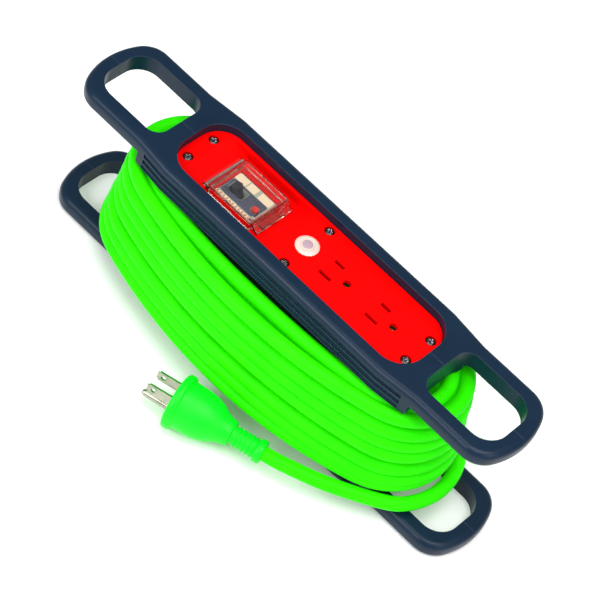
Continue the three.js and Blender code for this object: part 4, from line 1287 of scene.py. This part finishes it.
@dataclass
class Cover:
    """The breaker's clear cover, with its lip, rail, teeth, latch and wavy skirt. In millimetres.

    X is measured from the end of the cover towards the outlets, and heights from its top.

    Attributes:
        tab: length of the finger tab past that end.
        sunk: how far the details go into the top, so that they grow out of it.
        lip: the raised lip along that end.
        lip_height: how far it stands up.
        lip_chamfer: width of its broken edges.
        rail: the rail along the near side.
        rail_height: how far it stands up.
        tooth: the first of the teeth beside the rail.
        tooth_height: how far they stand up.
        tooth_pitch: from one tooth to the next.
        teeth: how many there are.
        latch_place: the middle of the latch, as X and Y.
        latch_profile: its profile.
        latch_sides: how many sides it has.
        skirt_half_width: half the skirt's width.
        skirt_reach: how far it slopes out.
        skirt_drop: how far it hangs down.
        skirt_offset: how far in front of the end, and how far below the top, it starts.
        skirt_wave: how far its edge waves in and out.
        skirt_wave_rate: radians of that wave for each millimetre.
        skirt_calm: from its middle to where the wave has died away.
        skirt_fade: the width over which it does.
        skirt_wall: its thickness.
        skirt_steps: how finely it is divided across and down.
    """

    tab: float = 5.0
    sunk: float = 0.2
    lip: Patch = Patch(-1.5, 0.5, -15.6, 15.6, 0.8)
    lip_height: float = 0.6
    lip_chamfer: float = 0.3
    rail: Patch = Patch(-33.5, -2.4, -15.4, -14.5, 0.3)
    rail_height: float = 0.4
    tooth: Patch = Patch(-32.6, -31.4, -14.1, -12.9, 0.2)
    tooth_height: float = 0.35
    tooth_pitch: float = 2.5
    teeth: int = 12
    latch_place: tuple[float, float] = (-2.6, -12.6)
    latch_profile: tuple[tuple[float, float], ...] = (
        (0, -0.2), (1.6, -0.2), (1.6, 0.5), (1.2, 0.8), (0.7, 0.8), (0.6, 0.45), (0, 0.4),
    )
    latch_sides: int = 24
    skirt_half_width: float = 15.0
    skirt_reach: float = 4.6
    skirt_drop: float = 4.4
    skirt_offset: tuple[float, float] = (0.3, 0.6)
    skirt_wave: float = 0.7
    skirt_wave_rate: float = 0.62
    skirt_calm: float = 13.0
    skirt_fade: float = 6.0
    skirt_wall: float = 0.8
    skirt_steps: tuple[int, int] = (28, 6)

    def _plate(self, top: float, height: float, chamfer: float = 0.15) -> Plate:
        """Gives the kind of plate that stands on the cover.

        Args:
            top: height of the cover's top.
            height: how far the plate stands up.
            chamfer: width of its broken edges.

        Returns:
            The kind of plate.
        """
        return Plate(top - self.sunk, top + height, Finish.CLEAR, "cover", "clear_cover", chamfer)

    def _skirt(self, end: float, top: float) -> bpy.types.Object:
        """Hangs the thin skirt from the cover's end down and outwards to a wavy edge.

        Args:
            end: X of the cover's end.
            top: height of the cover's top.

        Returns:
            The skirt.
        """
        bm = bmesh.new()
        across, down = self.skirt_steps
        forward, below = self.skirt_offset
        sheet = []
        for i in range(across + 1):
            y = self.skirt_half_width * (2 * i / across - 1)
            calm = smooth((self.skirt_calm - abs(y)) / self.skirt_fade)
            reach = self.skirt_reach + self.skirt_wave * math.cos(y * self.skirt_wave_rate) * calm
            row = []
            for j in range(down + 1):
                t = j / down
                x = end + forward + reach * (0.25 * t + 0.75 * t * t)
                z = top - below - self.skirt_drop * t ** 0.8
                row.append(bm.verts.new((x * MM, y * MM, z * MM)))
            sheet.append(row)
        for left, right in zip(sheet, sheet[1:]):
            for j in range(down):
                bm.faces.new((left[j], right[j], right[j + 1], left[j + 1]))
        mesh = mesh_from("cover_skirt", bm)
        mesh.shade_smooth()
        skirt = mesh_object("cover_skirt", mesh, Finish.CLEAR)
        solid = skirt.modifiers.new("wall", "SOLIDIFY")
        solid.thickness = self.skirt_wall * MM
        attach(skirt, "cover")
        return skirt

    def dress(self, frame: Frame) -> bpy.types.Object:
        """Stands the refined cover in for its CAD node, and returns it; frame is the loaded frame."""
        return refine(frame, "breaker_cover", "breaker_cover_shell", Finish.CLEAR, "cover")

    def build(self) -> list[bpy.types.Object]:
        """Adds the cover's details.

        Returns:
            The pieces.
        """
        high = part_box("breaker_cover")[1]
        end, top = in_mm(high.x) - self.tab, in_mm(high.z)
        lip = self._plate(top, self.lip_height, self.lip_chamfer)
        pieces = [lip.cut("cover_lip", self.lip.outline(end))]
        rail = self._plate(top, self.rail_height)
        pieces.append(rail.cut("cover_rail", self.rail.outline(end)))
        tooth = self._plate(top, self.tooth_height)
        for i in range(self.teeth):
            outline = self.tooth.outline(end + i * self.tooth_pitch)
            pieces.append(tooth.cut(f"cover_tooth_{i + 1}", outline))
        latch = lathe("cover_latch", self.latch_profile, self.latch_sides, Finish.CLEAR)
        x, y = self.latch_place
        latch.data.transform(Matrix.Translation(Vector((end + x, y, top)) * MM))
        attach(latch, "cover")
        return [*pieces, latch, self._skirt(end, top)]


@dataclass
class Breaker:
    """The earth-leakage breaker: its insert, blank labels, lever, test button and cover. In millimetres.

    X is measured from the middle of the breaker, and heights from its face.

    Attributes:
        sunk: how far the plates go into the face, so that they sit on it without a gap.
        insert: the slate insert.
        insert_height: how far it stands up.
        lever_slot: the hole in it for the lever.
        button_room: gap round the test button.
        labels: the blank labels, in the order of their numbers.
        label_height: how far they stand up.
        label_chamfer: width of their broken edges.
        cover: the clear cover over it.
    """

    sunk: float = 0.1
    insert: Patch = Patch(-14.6, 13.0, -7.4, 5.0, 1.0)
    insert_height: float = 0.45
    lever_slot: Patch = Patch(-12.8, -0.2, -3.9, 3.9, 0.5)
    button_room: float = 0.5
    labels: tuple[Patch, ...] = (
        Patch(-15.2, -6.6, 5.6, 10.9, 0.4),
        Patch(-5.6, 1.0, 5.6, 10.9, 0.4),
        Patch(3.6, 12.8, 5.6, 10.9, 0.4),
        Patch(-15.4, 12.8, -10.8, -8.2, 0.4),
    )
    label_height: float = 0.2
    label_chamfer: float = 0.05
    cover: Cover = field(default_factory=Cover)

    def build(self, frame: Frame) -> list[bpy.types.Object]:
        """Dresses the breaker's nodes, lays the insert and the labels on its face and details its cover.

        Args:
            frame: the loaded frame.

        Returns:
            The pieces.
        """
        pieces = [
            refine(frame, "breaker_case", "breaker_case_shell", Finish.BREAKER_MOULDING, "reel"),
            refine(frame, "breaker_lever", "breaker_lever_shell", Finish.LEVER_MOULDING, "lever"),
            refine(frame, "breaker_test_button", "breaker_test_button_shell", Finish.BUTTON_MOULDING,
                   "test_button"),
            self.cover.dress(frame),
        ]
        low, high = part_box("breaker_case")
        face = in_mm(high.z)
        middle = in_mm((low.x + high.x) / 2)
        insert = Plate(face - self.sunk, face + self.insert_height, Finish.INSERT_MOULDING, "reel",
                       "breaker_grey")
        label = Plate(face - self.sunk, face + self.label_height, Finish.LABEL_FILM, "reel", "breaker_grey",
                      self.label_chamfer)
        low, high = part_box("breaker_test_button")
        button = (low + high) / 2
        button_radius = in_mm((high.y - low.y) / 2)
        button_hole = circle(in_mm(button.x), in_mm(button.y), button_radius + self.button_room)
        holes = [self.lever_slot.outline(middle), button_hole]
        pieces.append(insert.cut("breaker_insert", self.insert.outline(middle), *holes))
        for number, patch in enumerate(self.labels, 1):
            pieces.append(label.cut(f"blank_label_{number}", patch.outline(middle)))
        return pieces + self.cover.build()


@dataclass
class Lamp:
    """The frosted window set in the pilot lamp's lens, and the bead round it. In millimetres.

    Attributes:
        sunk: how far below the lens's top they are measured from.
        window: the crowned window's profile.
        bead: the bead's profile, which closes on itself.
        sides: how many sides they have.
    """

    sunk: float = 0.3
    window: tuple[tuple[float, float], ...] = (
        (0, -0.3), (3.6, -0.3), (3.6, 0.12), (3.3, 0.3), (2.2, 0.46), (0, 0.52),
    )
    bead: tuple[tuple[float, float], ...] = (
        (3.75, -0.3), (4.35, -0.3), (4.4, 0.1), (4.2, 0.42), (3.95, 0.42), (3.78, 0.1), (3.75, -0.3),
    )
    sides: int = 40

    def build(self) -> list[bpy.types.Object]:
        """Sets the window and the bead on the lens.

        Returns:
            The two pieces.
        """
        low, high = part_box("lamp_lens")
        x, y = in_mm((low.x + high.x) / 2), in_mm((low.y + high.y) / 2)
        place = Vector((x, y, in_mm(high.z) - self.sunk)) * MM
        pieces = [
            lathe("lamp_window", self.window, self.sides, Finish.LAMP_DISC),
            lathe("lamp_bead", self.bead, self.sides, Finish.LAMP_LENS),
        ]
        for piece in pieces:
            piece.data.transform(Matrix.Translation(place))
            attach(piece, "reel")
        return pieces


def main() -> None:
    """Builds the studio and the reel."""
    logging.basicConfig(level=logging.INFO, format="%(name)s: %(message)s")
    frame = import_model()
    Studio().build()
    plug = Plug().build(frame)
    cord = Cord().build(plug)
    shells = Shells().build(frame)
    breaker = Breaker().build(frame)
    lamp = Lamp().build()


if __name__ == "__main__":
    main()
